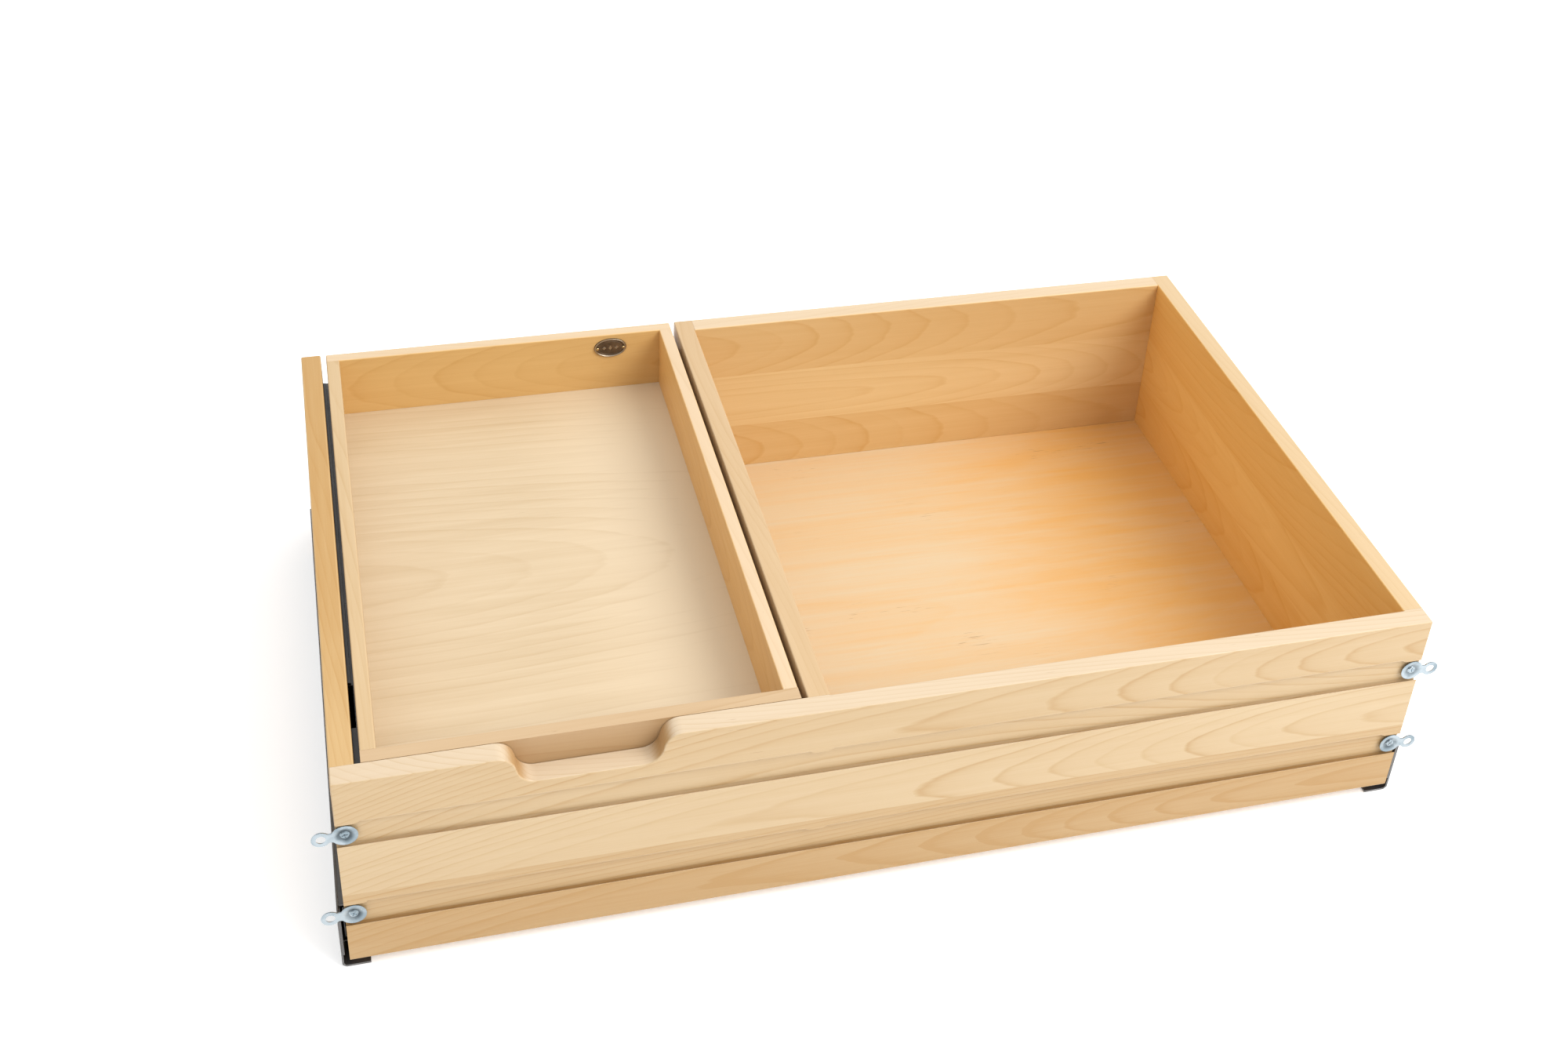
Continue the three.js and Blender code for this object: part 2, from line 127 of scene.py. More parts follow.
def normalOf(tree):
    return addNode(tree, "ShaderNodeNewGeometry").outputs["Normal"]


def markOf(tree, name):
    return addNode(tree, "ShaderNodeAttribute", attribute_name=name).outputs["Fac"]


def mixNumber(tree, factor, first, second):
    made = addNode(tree, "ShaderNodeMix", data_type="FLOAT")
    for index, value in ((0, factor), (2, first), (3, second)):
        feed(tree, made.inputs[index], value)
    return made.outputs[0]


def mixVector(tree, factor, first, second):
    made = addNode(tree, "ShaderNodeMix", data_type="VECTOR")
    for index, value in ((0, factor), (4, first), (5, second)):
        feed(tree, made.inputs[index], value)
    return made.outputs[1]


def mixColour(tree, factor, first, second, way="MIX"):
    made = addNode(tree, "ShaderNodeMix", data_type="RGBA", blend_type=way)
    for index, value in ((0, factor), (6, first), (7, second)):
        feed(tree, made.inputs[index], value)
    return made.outputs[2]


def spread(tree, value, low, high, newLow=0.0, newHigh=1.0, smooth=False):
    made = addNode(tree, "ShaderNodeMapRange", interpolation_type="SMOOTHSTEP" if smooth else "LINEAR")
    for socket, setting in zip(made.inputs, (value, low, high, newLow, newHigh)):
        feed(tree, socket, setting)
    return made.outputs[0]


def noiseOf(tree, vector, scale=1.0, detail=2.0, rough=0.5, bend=0.0):
    made = addNode(tree, "ShaderNodeTexNoise")
    feed(tree, made.inputs["Vector"], vector)
    made.inputs["Scale"].default_value = scale
    made.inputs["Detail"].default_value = detail
    made.inputs["Roughness"].default_value = rough
    made.inputs["Distortion"].default_value = bend
    return made.outputs["Fac"]


def addBump(tree, shader, height, strength, distance):
    bump = addNode(tree, "ShaderNodeBump")
    bump.inputs["Strength"].default_value = strength
    bump.inputs["Distance"].default_value = distance
    tree.links.new(height, bump.inputs["Height"])
    tree.links.new(bump.outputs[0], shader.inputs["Normal"])


def newMaterial(name):
    material = bpy.data.materials.new(name)
    material.use_nodes = True
    tree = material.node_tree
    place = addNode(tree, "ShaderNodeTexCoord").outputs["Object"]
    return material, tree, tree.nodes["Principled BSDF"], place


def startGroup(name, inputs, outputs):
    tree = bpy.data.node_groups.new(name, "ShaderNodeTree")
    for label, kind, value in inputs:
        socket = tree.interface.new_socket(label, in_out="INPUT", socket_type=kind)
        if value is not None:
            socket.default_value = value
    for label, kind in outputs:
        tree.interface.new_socket(label, in_out="OUTPUT", socket_type=kind)
    return tree, addNode(tree, "NodeGroupInput").outputs, addNode(tree, "NodeGroupOutput").inputs


def useGroup(tree, group, **values):
    made = addNode(tree, "ShaderNodeGroup", node_tree=group)
    for label, value in values.items():
        feed(tree, made.inputs[label], value)
    return made.outputs


numberKind = "NodeSocketFloat"
vectorKind = "NodeSocketVector"


# wood: strips, growth lines, fibres

def gluedStrips():
    inputs = [("Vector", vectorKind, None)]
    inputs += [(f"Joint{n}", numberKind, 9.0) for n in (1, 2, 3)]
    inputs += [(f"Heart{n}", vectorKind, None) for n in (1, 2, 3, 4)]
    inputs += [(f"Tone{n}", numberKind, 0.0) for n in (1, 2, 3, 4)]
    outputs = [("Vector", vectorKind), ("Tone", numberKind), ("Strip", numberKind)]
    tree, given, result = startGroup("gluedStrips", inputs, outputs)
    axes = axesOf(tree, given["Vector"])
    heart, tone, strip = given["Heart1"], given["Tone1"], 0.0
    for n in (1, 2, 3):
        past = calc(tree, "GREATER_THAN", axes["Y"], given[f"Joint{n}"])
        heart = mixVector(tree, past, heart, given[f"Heart{n + 1}"])
        tone = mixNumber(tree, past, tone, given[f"Tone{n + 1}"])
        strip = calc(tree, "ADD", strip, past)
    tree.links.new(vectorCalc(tree, "SUBTRACT", given["Vector"], heart), result["Vector"])
    tree.links.new(tone, result["Tone"])
    tree.links.new(strip, result["Strip"])
    return tree


def growthLines():
    inputs = [
        ("Vector", vectorKind, None),
        ("Tilt", numberKind, 0.16),  # how steeply the heart of the log crosses the board
        ("Reach", numberKind, 0.25),  # the heart runs level past this distance
        ("Spacing", numberKind, 0.006),
        ("Wander", numberKind, 0.02),
        ("WanderScale", numberKind, 2.5),
        ("Sway", numberKind, 0.0),  # how fast the heart slides sideways past SwayFrom
        ("SwayFrom", numberKind, 0.25),
        ("Ripple", numberKind, 0.4),
        ("Seed", numberKind, 0.0),
    ]
    tree, given, result = startGroup("growthLines", inputs, [("Line", numberKind), ("Band", numberKind)])
    along, across, depth = axesOf(tree, given["Vector"])
    level = calc(tree, "TANH", calc(tree, "DIVIDE", along, given["Reach"]))
    fall = calc(tree, "MULTIPLY", calc(tree, "MULTIPLY", level, given["Reach"]), given["Tilt"])
    depth = calc(tree, "ADD", depth, fall)
    path = addNode(tree, "ShaderNodeCombineXYZ")
    tree.links.new(calc(tree, "MULTIPLY", along, given["WanderScale"]), path.inputs[0])
    tree.links.new(given["Seed"], path.inputs[1])
    drift = calc(tree, "SUBTRACT", noiseOf(tree, path.outputs[0], 1, 1.5), 0.5)
    across = calc(tree, "MULTIPLY_ADD", drift, given["Wander"], across)
    beyond = calc(tree, "MULTIPLY", calc(tree, "ADD", along, given["SwayFrom"]), -1.0)
    beyond = calc(tree, "MAXIMUM", beyond, 0.0)
    beyond = calc(tree, "MULTIPLY", beyond, beyond)
    across = calc(tree, "MULTIPLY_ADD", beyond, given["Sway"], across)
    reach = calc(tree, "ADD", calc(tree, "MULTIPLY", across, across), calc(tree, "MULTIPLY", depth, depth))
    radius = calc(tree, "SQRT", reach)
    stretched = vectorCalc(tree, "MULTIPLY", given["Vector"], (7.0, 60.0, 60.0))
    shifted = vectorCalc(tree, "ADD", stretched, given["Seed"])
    ripple = calc(tree, "SUBTRACT", noiseOf(tree, shifted, 1, 3, 0.55), 0.5)
    turns = calc(tree, "DIVIDE", radius, given["Spacing"])
    turns = calc(tree, "MULTIPLY_ADD", ripple, given["Ripple"], turns)
    part = calc(tree, "FRACT", turns)
    ring = addNode(tree, "ShaderNodeTexWhiteNoise", noise_dimensions="1D")
    tree.links.new(calc(tree, "ADD", calc(tree, "FLOOR", turns), given["Seed"]), ring.inputs["W"])
    strength = spread(tree, ring.outputs["Value"], 0, 1, 0.25, 1.0)
    rise = calc(tree, "POWER", part, 10.0)
    dropOff = spread(tree, part, 0.9, 1.0, 1.0, 0.0, smooth=True)
    tree.links.new(calc(tree, "MULTIPLY", calc(tree, "MULTIPLY", rise, dropOff), strength), result["Line"])
    tree.links.new(calc(tree, "MULTIPLY", part, strength), result["Band"])
    return tree


def woodFibres():
    inputs = [("Vector", vectorKind, None), ("Seed", numberKind, 0.0), ("FleckLimit", numberKind, 0.7)]
    outputs = [("Fibre", numberKind), ("Streak", numberKind), ("Cloud", numberKind), ("Fleck", numberKind)]
    tree, given, result = startGroup("woodFibres", inputs, outputs)
    place = vectorCalc(tree, "ADD", given["Vector"], given["Seed"])

    def stretched(sizes):
        return vectorCalc(tree, "MULTIPLY", place, sizes)

    fibre = noiseOf(tree, stretched((14.0, 950.0, 950.0)), 1, 2.5, 0.6)
    streak = noiseOf(tree, stretched((2.6, 120.0, 120.0)), 1, 3.0, 0.55)
    cloud = noiseOf(tree, stretched((5.0, 26.0, 26.0)), 1, 4.0, 0.62, 0.4)
    dash = noiseOf(tree, stretched((38.0, 800.0, 800.0)), 1, 2.0, 0.6)
    patch = noiseOf(tree, stretched((11.0, 24.0, 24.0)), 1, 1.0)
    few = spread(tree, patch, 0.6, 0.7, 0.0, 1.0, smooth=True)
    dashes = calc(tree, "SUBTRACT", dash, given["FleckLimit"])
    fleck = spread(tree, dashes, 0.0, 0.09, 0.0, 1.0, smooth=True)
    tree.links.new(fibre, result["Fibre"])
    tree.links.new(streak, result["Streak"])
    tree.links.new(cloud, result["Cloud"])
    tree.links.new(calc(tree, "MULTIPLY", fleck, few), result["Fleck"])
    return tree


groups = {"strips": gluedStrips(), "lines": growthLines(), "fibres": woodFibres()}

# which way a board's grain runs: rows give along, across and depth
grainWays = {
    "crossFace": ((1, 0, 0), (0, 0, 1), (0, -1, 0)),
    "deepFace": ((0, 1, 0), (0, 0, 1), (1, 0, 0)),
    "crossFlat": ((1, 0, 0), (0, 1, 0), (0, 0, 1)),
}

mapleLook = {
    "pale": (0.60, 0.46, 0.28),
    "dark": (0.43, 0.26, 0.11),
    "fleckColour": (0.22, 0.10, 0.035),
    "roughness": (0.36, 0.5),
    "lines": 0.45,
    "bands": 0.12,
    "fibres": 0.22,
    "streaks": 0.35,
    "clouds": 0.3,
    "flecks": 0.7,
    "fleckLimit": 0.7,
    "tilt": 0.16,
    "reach": 0.25,
    "spacing": 0.006,
    "wander": 0.03,
    "wanderScale": 2.5,
    "sway": 0.0,
    "swayFrom": 0.25,
    "ripple": 0.5,
    "seed": 1.0,
    "rim": (0.68, 0.56, 0.42),  # painted light: faces turned up get this paler colour, so the top edge reads lit
    "paintedLightDark": (0.56, 0.42, 0.26),
    "paintedLightShare": 0.0,
    "outward": (0, 0, 1),  # faces turned this way also get the painted-light colour
    "endGrainAndShade": 0.65,  # how much darker the sawn ends are: end grain, and painted shade on the scoop's ramps
    "endGrainAndShadeColour": (0.40, 0.205, 0.065),
    "toneAndLightRampFrom": 0.0,  # a ramp of the board's shade along its grain starts here; on the tray floor it is painted light
    "toneAndLightRampTo": 1.0,
    "toneAndLightRamp": 0.0,
    "toneAndLightRampWander": 0.12,  # how far the edge of the ramp strays
    "bump": (0.35, 0.15 * mm),  # strength and depth
    "joints": (),
    "hearts": ((0.0, 0.16, 0.06),),
    "tones": (0.3,),
}


# the heart of the log is placed by how far it lies behind the face that shows most
def heartOf(board, way, heart):
    low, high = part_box(board)
    faceAt, inward = {"crossFace": (-low.y, -1), "deepFace": (low.x, 1), "crossFlat": (high.z, -1)}[way]
    return (heart[0], heart[1], faceAt + inward * heart[2])


def mapleMaterial(board, way, **changes):
    look = {**mapleLook, **changes}
    material, tree, shader, place = newMaterial(board + "_maple")
    turned = addNode(tree, "ShaderNodeMapping")
    turned.inputs["Rotation"].default_value = Matrix(grainWays[way]).to_euler()
    tree.links.new(place, turned.inputs["Vector"])

    stripValues = {}
    for n, joint in enumerate(look["joints"], 1):
        stripValues[f"Joint{n}"] = joint
    for n in range(1, 5):
        heart = look["hearts"][min(n, len(look["hearts"])) - 1]
        stripValues[f"Heart{n}"] = heartOf(board, way, heart)
        stripValues[f"Tone{n}"] = look["tones"][min(n, len(look["tones"])) - 1]
    strip = useGroup(tree, groups["strips"], Vector=turned.outputs[0], **stripValues)
    seed = calc(tree, "MULTIPLY_ADD", strip["Strip"], 0.73, look["seed"])
    lines = useGroup(
        tree, groups["lines"], Vector=strip["Vector"], Tilt=look["tilt"], Reach=look["reach"],
        Spacing=look["spacing"], Wander=look["wander"], WanderScale=look["wanderScale"],
        Sway=look["sway"], SwayFrom=look["swayFrom"], Ripple=look["ripple"], Seed=seed)
    fibres = useGroup(
        tree, groups["fibres"], Vector=strip["Vector"], Seed=seed, FleckLimit=look["fleckLimit"])

    shade = strip["Tone"]
    for mask, middle, share in (
        (lines["Line"], 0.0, look["lines"]),
        (lines["Band"], 0.3, look["bands"]),
        (fibres["Fibre"], 0.5, look["fibres"]),
        (fibres["Streak"], 0.5, look["streaks"]),
        (fibres["Cloud"], 0.5, look["clouds"]),
    ):
        shade = calc(tree, "MULTIPLY_ADD", calc(tree, "SUBTRACT", mask, middle), share, shade)
    facing = facingOf(tree, normalOf(tree), grainWays[way][0])
    sawn = spread(tree, calc(tree, "ABSOLUTE", facing), 0.3, 1.0, smooth=True)
    # a ramp of the board's shade along its grain; on the tray floor this is painted light that pales the
    # shaded right side
    if look["toneAndLightRamp"]:
        wander, offset = look["toneAndLightRampWander"], look["toneAndLightRampWander"] / 2
        wavy = calc(tree, "MULTIPLY_ADD", fibres["Cloud"], wander, axesOf(tree, turned.outputs[0])["X"])
        start, end = look["toneAndLightRampFrom"] + offset, look["toneAndLightRampTo"] + offset
        rampedToneAndLight = spread(tree, wavy, start, end, 0.0, look["toneAndLightRamp"], smooth=True)
        shade = calc(tree, "ADD", shade, rampedToneAndLight)
    shade = calc(tree, "ADD", shade, 0.0, clamp=True)
    colour = mixColour(tree, shade, (*look["pale"], 1), (*look["dark"], 1))
    # painted light: faces turned up or outward get a paler copy of the wood, so they read as lit beside the
    # faces turned away
    if look["paintedLightShare"]:
        turns = [facingOf(tree, normalOf(tree), direction) for direction in ((0, 0, 1), look["outward"])]
        outer = calc(tree, "MAXIMUM", *turns)
        upward = spread(tree, outer, 0.5, 0.95, 0.0, look["paintedLightShare"], smooth=True)
        rim = mixColour(tree, shade, (*look["rim"], 1), (*look["paintedLightDark"], 1))
        colour = mixColour(tree, upward, colour, rim)
    # sawn ends darken as end grain does, set dark enough to also paint the shade on the scoop's ramps
    darkened = calc(tree, "MULTIPLY", sawn, look["endGrainAndShade"])
    colour = mixColour(tree, darkened, colour, (*look["endGrainAndShadeColour"], 1))
    marked = calc(tree, "MULTIPLY", fibres["Fleck"], look["flecks"], clamp=True)
    colour = mixColour(tree, marked, colour, (*look["fleckColour"], 1))
    patchy = spread(tree, fibres["Streak"], 0.35, 0.6, 0.1, 0.35)
    rubbedAndLitEdges = calc(tree, "MULTIPLY", markOf(tree, "eased"), patchy)
    colour = mixColour(tree, rubbedAndLitEdges, colour, (*look["pale"], 1))
    tree.links.new(colour, shader.inputs["Base Color"])
    low, high = look["roughness"]
    tree.links.new(spread(tree, fibres["Fibre"], 0.25, 0.75, low, high), shader.inputs["Roughness"])
    height = calc(tree, "MULTIPLY_ADD", lines["Line"], -0.5, fibres["Fibre"])
    height = calc(tree, "MULTIPLY_ADD", fibres["Fleck"], -0.6, height)
    addBump(tree, shader, height, *look["bump"])
    shader.inputs["IOR"].default_value = 1.45
    return material


# metal, rubber

def wornMetal():
    inputs = [("Vector", vectorKind, None), ("Scale", numberKind, 1.0), ("Seed", numberKind, 0.0)]
    outputs = [("Smudge", numberKind), ("Scratch", numberKind), ("Grit", numberKind)]
    tree, given, result = startGroup("wornMetal", inputs, outputs)
    place = vectorCalc(tree, "ADD", given["Vector"], given["Seed"])
    wide = vectorCalc(tree, "MULTIPLY", place, given["Scale"])
    smudge = noiseOf(tree, wide, 60, 3, 0.55, 0.4)
    long = vectorCalc(tree, "MULTIPLY", wide, (1.0, 0.06, 1.0))
    scratch = noiseOf(tree, long, 1400, 2, 0.6)
    grit = noiseOf(tree, wide, 2600, 1, 0.5)
    tree.links.new(smudge, result["Smudge"])
    tree.links.new(scratch, result["Scratch"])
    tree.links.new(grit, result["Grit"])
    return tree


groups["metal"] = wornMetal()


def metalMaterial(name, light, dark, metallic, roughness, edgeColour, edgeShare, bumpDepth, coat=0.0):
    material, tree, shader, place = newMaterial(name)
    worn = useGroup(tree, groups["metal"], Vector=place)
    colour = mixColour(tree, spread(tree, worn["Smudge"], 0.35, 0.65, smooth=True), (*light, 1), (*dark, 1))
    # eased edges lighten: partly worn bare metal, partly a painted highlight on the lit edges of the black
    # slides
    raised = calc(tree, "MAXIMUM", markOf(tree, "eased"), markOf(tree, "handled"))
    bareAndLitEdge = spread(tree, worn["Scratch"], 0.3, 0.6, edgeShare * 0.5, edgeShare)
    rubbedAndLitEdges = calc(tree, "MULTIPLY", raised, bareAndLitEdge)
    colour = mixColour(tree, rubbedAndLitEdges, colour, (*edgeColour, 1))
    # hollows darken: patina in the badge's hollows, painted shade in the clip's dish
    patchy = spread(tree, worn["Smudge"], 0.35, 0.6, 0.35, 1.0)
    patinaAndShadeShare = calc(tree, "MULTIPLY", markOf(tree, "patinaAndPaintedShade"), patchy, clamp=True)
    colour = mixColour(tree, patinaAndShadeShare, colour, [value * 0.3 for value in dark] + [1])
    tree.links.new(colour, shader.inputs["Base Color"])
    shader.inputs["Metallic"].default_value = metallic
    shader.inputs["Coat Weight"].default_value = coat
    shader.inputs["Coat Roughness"].default_value = 0.12
    low, high = roughness
    tree.links.new(spread(tree, worn["Smudge"], 0.3, 0.7, low, high), shader.inputs["Roughness"])
    scratched = calc(tree, "MULTIPLY", worn["Scratch"], 0.6)
    gritty = calc(tree, "MULTIPLY", worn["Grit"], 0.4)
    addBump(tree, shader, calc(tree, "ADD", scratched, gritty), 0.3, bumpDepth)
    return material


metalLooks = {
    "zinc": {
        "name": "brightZinc", "light": (0.40, 0.46, 0.50), "dark": (0.24, 0.30, 0.34), "metallic": 1.0,
        "roughness": (0.2, 0.34), "edgeColour": (0.66, 0.71, 0.74), "edgeShare": 0.5, "bumpDepth": 0.02 * mm},
    "black": {
        "name": "blackSlide", "light": (0.045, 0.042, 0.042), "dark": (0.028, 0.026, 0.026), "metallic": 0.0,
        # light grey edges: worn bare metal together with a painted highlight
        "roughness": (0.27, 0.35), "edgeColour": (0.5, 0.5, 0.5), "edgeShare": 0.55, "bumpDepth": 0.02 * mm,
        "coat": 0.6},
    "bronze": {
        "name": "agedBronze", "light": (0.24, 0.18, 0.13), "dark": (0.12, 0.09, 0.065), "metallic": 1.0,
        "roughness": (0.3, 0.45), "edgeColour": (0.50, 0.42, 0.32), "edgeShare": 0.8, "bumpDepth": 0.03 * mm},
    "brass": {
        "name": "wornBrass", "light": (0.62, 0.45, 0.22), "dark": (0.45, 0.31, 0.15), "metallic": 1.0,
        "roughness": (0.22, 0.35), "edgeColour": (0.8, 0.66, 0.4), "edgeShare": 0.5, "bumpDepth": 0.02 * mm},
    "rubber": {
        "name": "blackRubber", "light": (0.03, 0.03, 0.03), "dark": (0.02, 0.02, 0.02), "metallic": 0.0,
        "roughness": (0.55, 0.75), "edgeColour": (0.05, 0.05, 0.05), "edgeShare": 0.3,
        "bumpDepth": 0.05 * mm},
}
materials = {finish: metalMaterial(**look) for finish, look in metalLooks.items()}

boardLooks = {
    "front_panel": ("crossFace", {
        "pale": (0.57, 0.435, 0.265), "dark": (0.42, 0.25, 0.095), "paintedLightShare": 0.8,
        "joints": (0.0508, 0.0845, 0.1368),
        "hearts": ((0.13, 0.03, 0.045), (-0.1, 0.0, 0.05), (0.2, 0.10, 0.06), (0.28, 0.174, 0.053)),
        # the lowest glued strip takes the darkest tone, which also paints the shade along the foot of the
        # front
        "tones": (0.85, 0.6, 0.2, 0.35), "lines": 1.0, "bands": 0.15, "tilt": -0.105, "reach": 0.2,
        "spacing": 0.004, "sway": 0.34, "swayFrom": 0.2, "wander": 0.02, "seed": 3.1}),
    "back_panel": ("crossFace", {
        "pale": (0.76, 0.54, 0.27), "dark": (0.57, 0.31, 0.09),
        "paintedLightShare": 0.8, "outward": (0, 1, 0),
        "joints": (0.078, 0.141),
        "hearts": ((0.1, 0.04, 0.08), (0.4, 0.105, 0.05), (0.1, 0.18, 0.06)),
        "tones": (0.5, 0.15, 0.4), "seed": 5.3}),
    "low_back_panel": ("crossFace", {"seed": 6.1}),
    "left_side": ("deepFace", {
        "pale": (0.64, 0.45, 0.22), "dark": (0.47, 0.26, 0.08),
        "joints": (0.09,), "hearts": ((0.0, 0.14, 0.05),), "spacing": 0.004,
        "tones": (0.4, 0.5), "toneAndLightRampFrom": -0.25, "toneAndLightRampTo": -0.05, "toneAndLightRamp": 0.3, "seed": 7.9}),
    "right_side": ("deepFace", {
        "pale": (0.90, 0.56, 0.19), "dark": (0.72, 0.34, 0.06),
        # painted light: the top and outer faces get this paler colour beside the deep orange inner face
        "rim": (0.62, 0.48, 0.31), "paintedLightDark": (0.50, 0.35, 0.18),
        "paintedLightShare": 0.9, "outward": (1, 0, 0),
        "joints": (0.075, 0.135), "hearts": ((0.1, 0.05, 0.05), (0.2, 0.11, 0.03), (0.0, 0.22, 0.06)),
        "tones": (0.5, 0.3, 0.45), "seed": 9.2}),
    "divider": ("deepFace", {
        "pale": (0.60, 0.43, 0.25), "dark": (0.44, 0.26, 0.10), "spacing": 0.004,
        "tones": (0.25,), "hearts": ((0.0, 0.14, 0.06),), "seed": 11.7}),
    "bottom_panel": ("crossFlat", {
        "pale": (0.63, 0.51, 0.34), "dark": (0.68, 0.36, 0.10),
        "clouds": 0.6, "lines": 0.12, "bands": 0.05,
        "hearts": ((0.3, 0.0, 0.12),), "spacing": 0.012, "fleckLimit": 0.62, "streaks": 0.6,
        # the ramp makes the floor darker and more orange towards the right wall
        "toneAndLightRampFrom": 0.12, "toneAndLightRampTo": 0.36, "toneAndLightRamp": 0.6, "seed": 13.3}),
    "tray_front": ("crossFace", {
        # painted shade: the front face, seen inside the scoop, takes this darker colour while the top keeps
        # the paler painted-light colour
        "pale": (0.46, 0.30, 0.155), "dark": (0.33, 0.17, 0.06), "seed": 15.1, "tones": (0.2,),
        "rim": (0.57, 0.41, 0.245), "paintedLightDark": (0.40, 0.23, 0.09), "paintedLightShare": 1.0}),
    "tray_back": ("crossFace", {
        "pale": (0.72, 0.47, 0.19), "dark": (0.54, 0.28, 0.07),
        "paintedLightShare": 0.7, "outward": (0, 1, 0),
        "hearts": ((-0.3, 0.165, 0.05),), "tilt": -0.16, "seed": 16.4}),
    "tray_left_side": ("deepFace", {
        "pale": (0.62, 0.46, 0.27), "dark": (0.45, 0.27, 0.10), "spacing": 0.004,
        "hearts": ((0.0, 0.13, 0.05),), "seed": 17.2, "tones": (0.3,)}),
    "tray_right_side": ("deepFace", {
        "pale": (0.84, 0.52, 0.20), "dark": (0.63, 0.32, 0.08),
        "paintedLightShare": 0.8, "outward": (1, 0, 0),
        "hearts": ((0.0, 0.16, 0.05),), "seed": 18.6, "tones": (0.4,)}),
    "tray_floor": ("crossFlat", {
        "pale": (0.65, 0.52, 0.35), "dark": (0.46, 0.32, 0.165),
        "lines": 0.35, "clouds": 0.5, "streaks": 0.55,
        # painted light: the negative ramp makes the right side paler where the tray's right wall shades it
        "toneAndLightRampFrom": -0.27, "toneAndLightRampTo": -0.12, "toneAndLightRamp": -0.45,
        "hearts": ((-0.2, 0.0, 0.08),), "spacing": 0.01, "fleckLimit": 0.7, "seed": 19.5}),
}
for board, (way, changes) in boardLooks.items():
    materials[board] = mapleMaterial(board, way, **changes)
print("materials made:", len(materials))


# pieces with eased edges, made from the frame's solids

def solidFrom(node):
    shape = bmesh.new()
    shape.from_mesh(frame["nodes"][node].data)
    bmesh.ops.remove_doubles(shape, verts=shape.verts, dist=joined)
    flat = math.radians(0.4)
    bmesh.ops.dissolve_limit(shape, angle_limit=flat, verts=shape.verts, edges=shape.edges)
    return shape


def cutAcross(shape, axis, places):
    for place in places:
        point = Vector((0, 0, 0))
        point[axis] = place
        normal = Vector((0, 0, 0))
        normal[axis] = 1
        everything = list(shape.verts) + list(shape.edges) + list(shape.faces)
        bmesh.ops.bisect_plane(shape, geom=everything, dist=joined, plane_co=point, plane_no=normal)


def sharpOutwardEdges(shape, angle):
    found = []
    for edge in shape.edges:
        if len(edge.link_faces) == 2 and edge.calc_face_angle_signed() > math.radians(angle):
            found.append(edge)
    return found


def isFree(edge, neighbours, reach):
    outward = (edge.link_faces[0].normal + edge.link_faces[1].normal).normalized()
    start, end = (vert.co for vert in edge.verts)
    for share in (0.15, 0.5, 0.85):
        point = start.lerp(end, share) + outward * reach
        for tree in neighbours:
            if tree.find_nearest(point, reach * 0.8)[0] is not None:
                return False
    return True


def easeEdges(shape, edges, width, segments):
    mask = shape.faces.layers.float.get("eased") or shape.faces.layers.float.new("eased")
    made = bmesh.ops.bevel(
        shape, geom=edges, offset=width, offset_type="OFFSET", segments=segments, profile=0.5,
        affect="EDGES", clamp_overlap=True, material=-1)
    for face in made["faces"]:
        face[mask] = 1.0


def finishPiece(shape, name, material, smoothAngle=32):
    shape.normal_update()
    for face in shape.faces:
        face.smooth = True
    for edge in shape.edges:
        edge.smooth = len(edge.link_faces) == 2 and edge.calc_face_angle(0) < math.radians(smoothAngle)
    mesh = bpy.data.meshes.new(name)
    shape.to_mesh(mesh)
    shape.free()
    mesh.materials.append(material)
    piece = bpy.data.objects.new(name, mesh)
    scene.collection.objects.link(piece)
    return piece


def bakeModifiers(piece):
    evaluated = piece.evaluated_get(bpy.context.evaluated_depsgraph_get())
    mesh = bpy.data.meshes.new_from_object(evaluated)
    piece.modifiers.clear()
    piece.data = mesh


# flat faces keep their own direction and the eased edges roll from one to the next
def evenNormals(mesh, flatAngle=32, easedAngle=52):
    eased = mesh.attributes.get("eased")
    isEased = [bool(eased and eased.data[face.index].value > 0.5) for face in mesh.polygons]
    around = [[] for vert in mesh.vertices]
    for face in mesh.polygons:
        for vert in face.vertices:
            around[vert].append((face.normal.copy(), face.area, isEased[face.index]))
    flatLimit, easedLimit = math.cos(math.radians(flatAngle)), math.cos(math.radians(easedAngle))
    normals = []
    for face in mesh.polygons:
        own = face.normal.copy()
        for vert in face.vertices:
            limit = easedLimit if isEased[face.index] else flatLimit
            near = [entry for entry in around[vert] if entry[0].dot(own) > limit]
            flats = [entry for entry in near if not entry[2]]
            total = Vector((0, 0, 0))
            for normal, area, mark in flats or near:
                total += normal * area
            normals.append(total.normalized() if total.length > 0 else own)
    mesh.normals_split_custom_set(normals)


def register(piece, slot, *nodes):
    if piece.modifiers:
        bakeModifiers(piece)
    evenNormals(piece.data)
    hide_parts(*nodes)
    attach(piece, bodyOf[nodes[0]])


boardEase = {
    "free": 1.3 * mm,
    "overhang": 3.0 * mm,  # the lower edge of each raised band on the front
    "ledge": 0.5 * mm,
    "segments": 3,
    "clearance": 0.9 * mm,  # an edge nearer to another board than this stays sharp
    "shortest": 1.5 * mm,
    "grooveZone": (5 * mm, 30 * mm),  # in from the foot and the top of the front
    "grooveLong": 100 * mm,
}
boards = list(boardLooks)
boardTrees = {}
for board in boards:
    shape = solidFrom(board)
    boardTrees[board] = BVHTree.FromBMesh(shape)
    shape.free()


def sliceForNeighbours(shape, board):
    edgeX = {name: (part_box(name)[0].x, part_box(name)[1].x) for name in boards}
    if board == "front_panel":
        cutAcross(shape, 0, [edgeX["left_side"][1], *edgeX["divider"], edgeX["right_side"][0]])
    if board in ("right_side", "divider"):
        cutAcross(shape, 1, [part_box("back_panel")[0].y])
    if board in ("tray_front", "tray_back"):
        cutAcross(shape, 0, [edgeX["tray_left_side"][1], edgeX["tray_right_side"][0]])


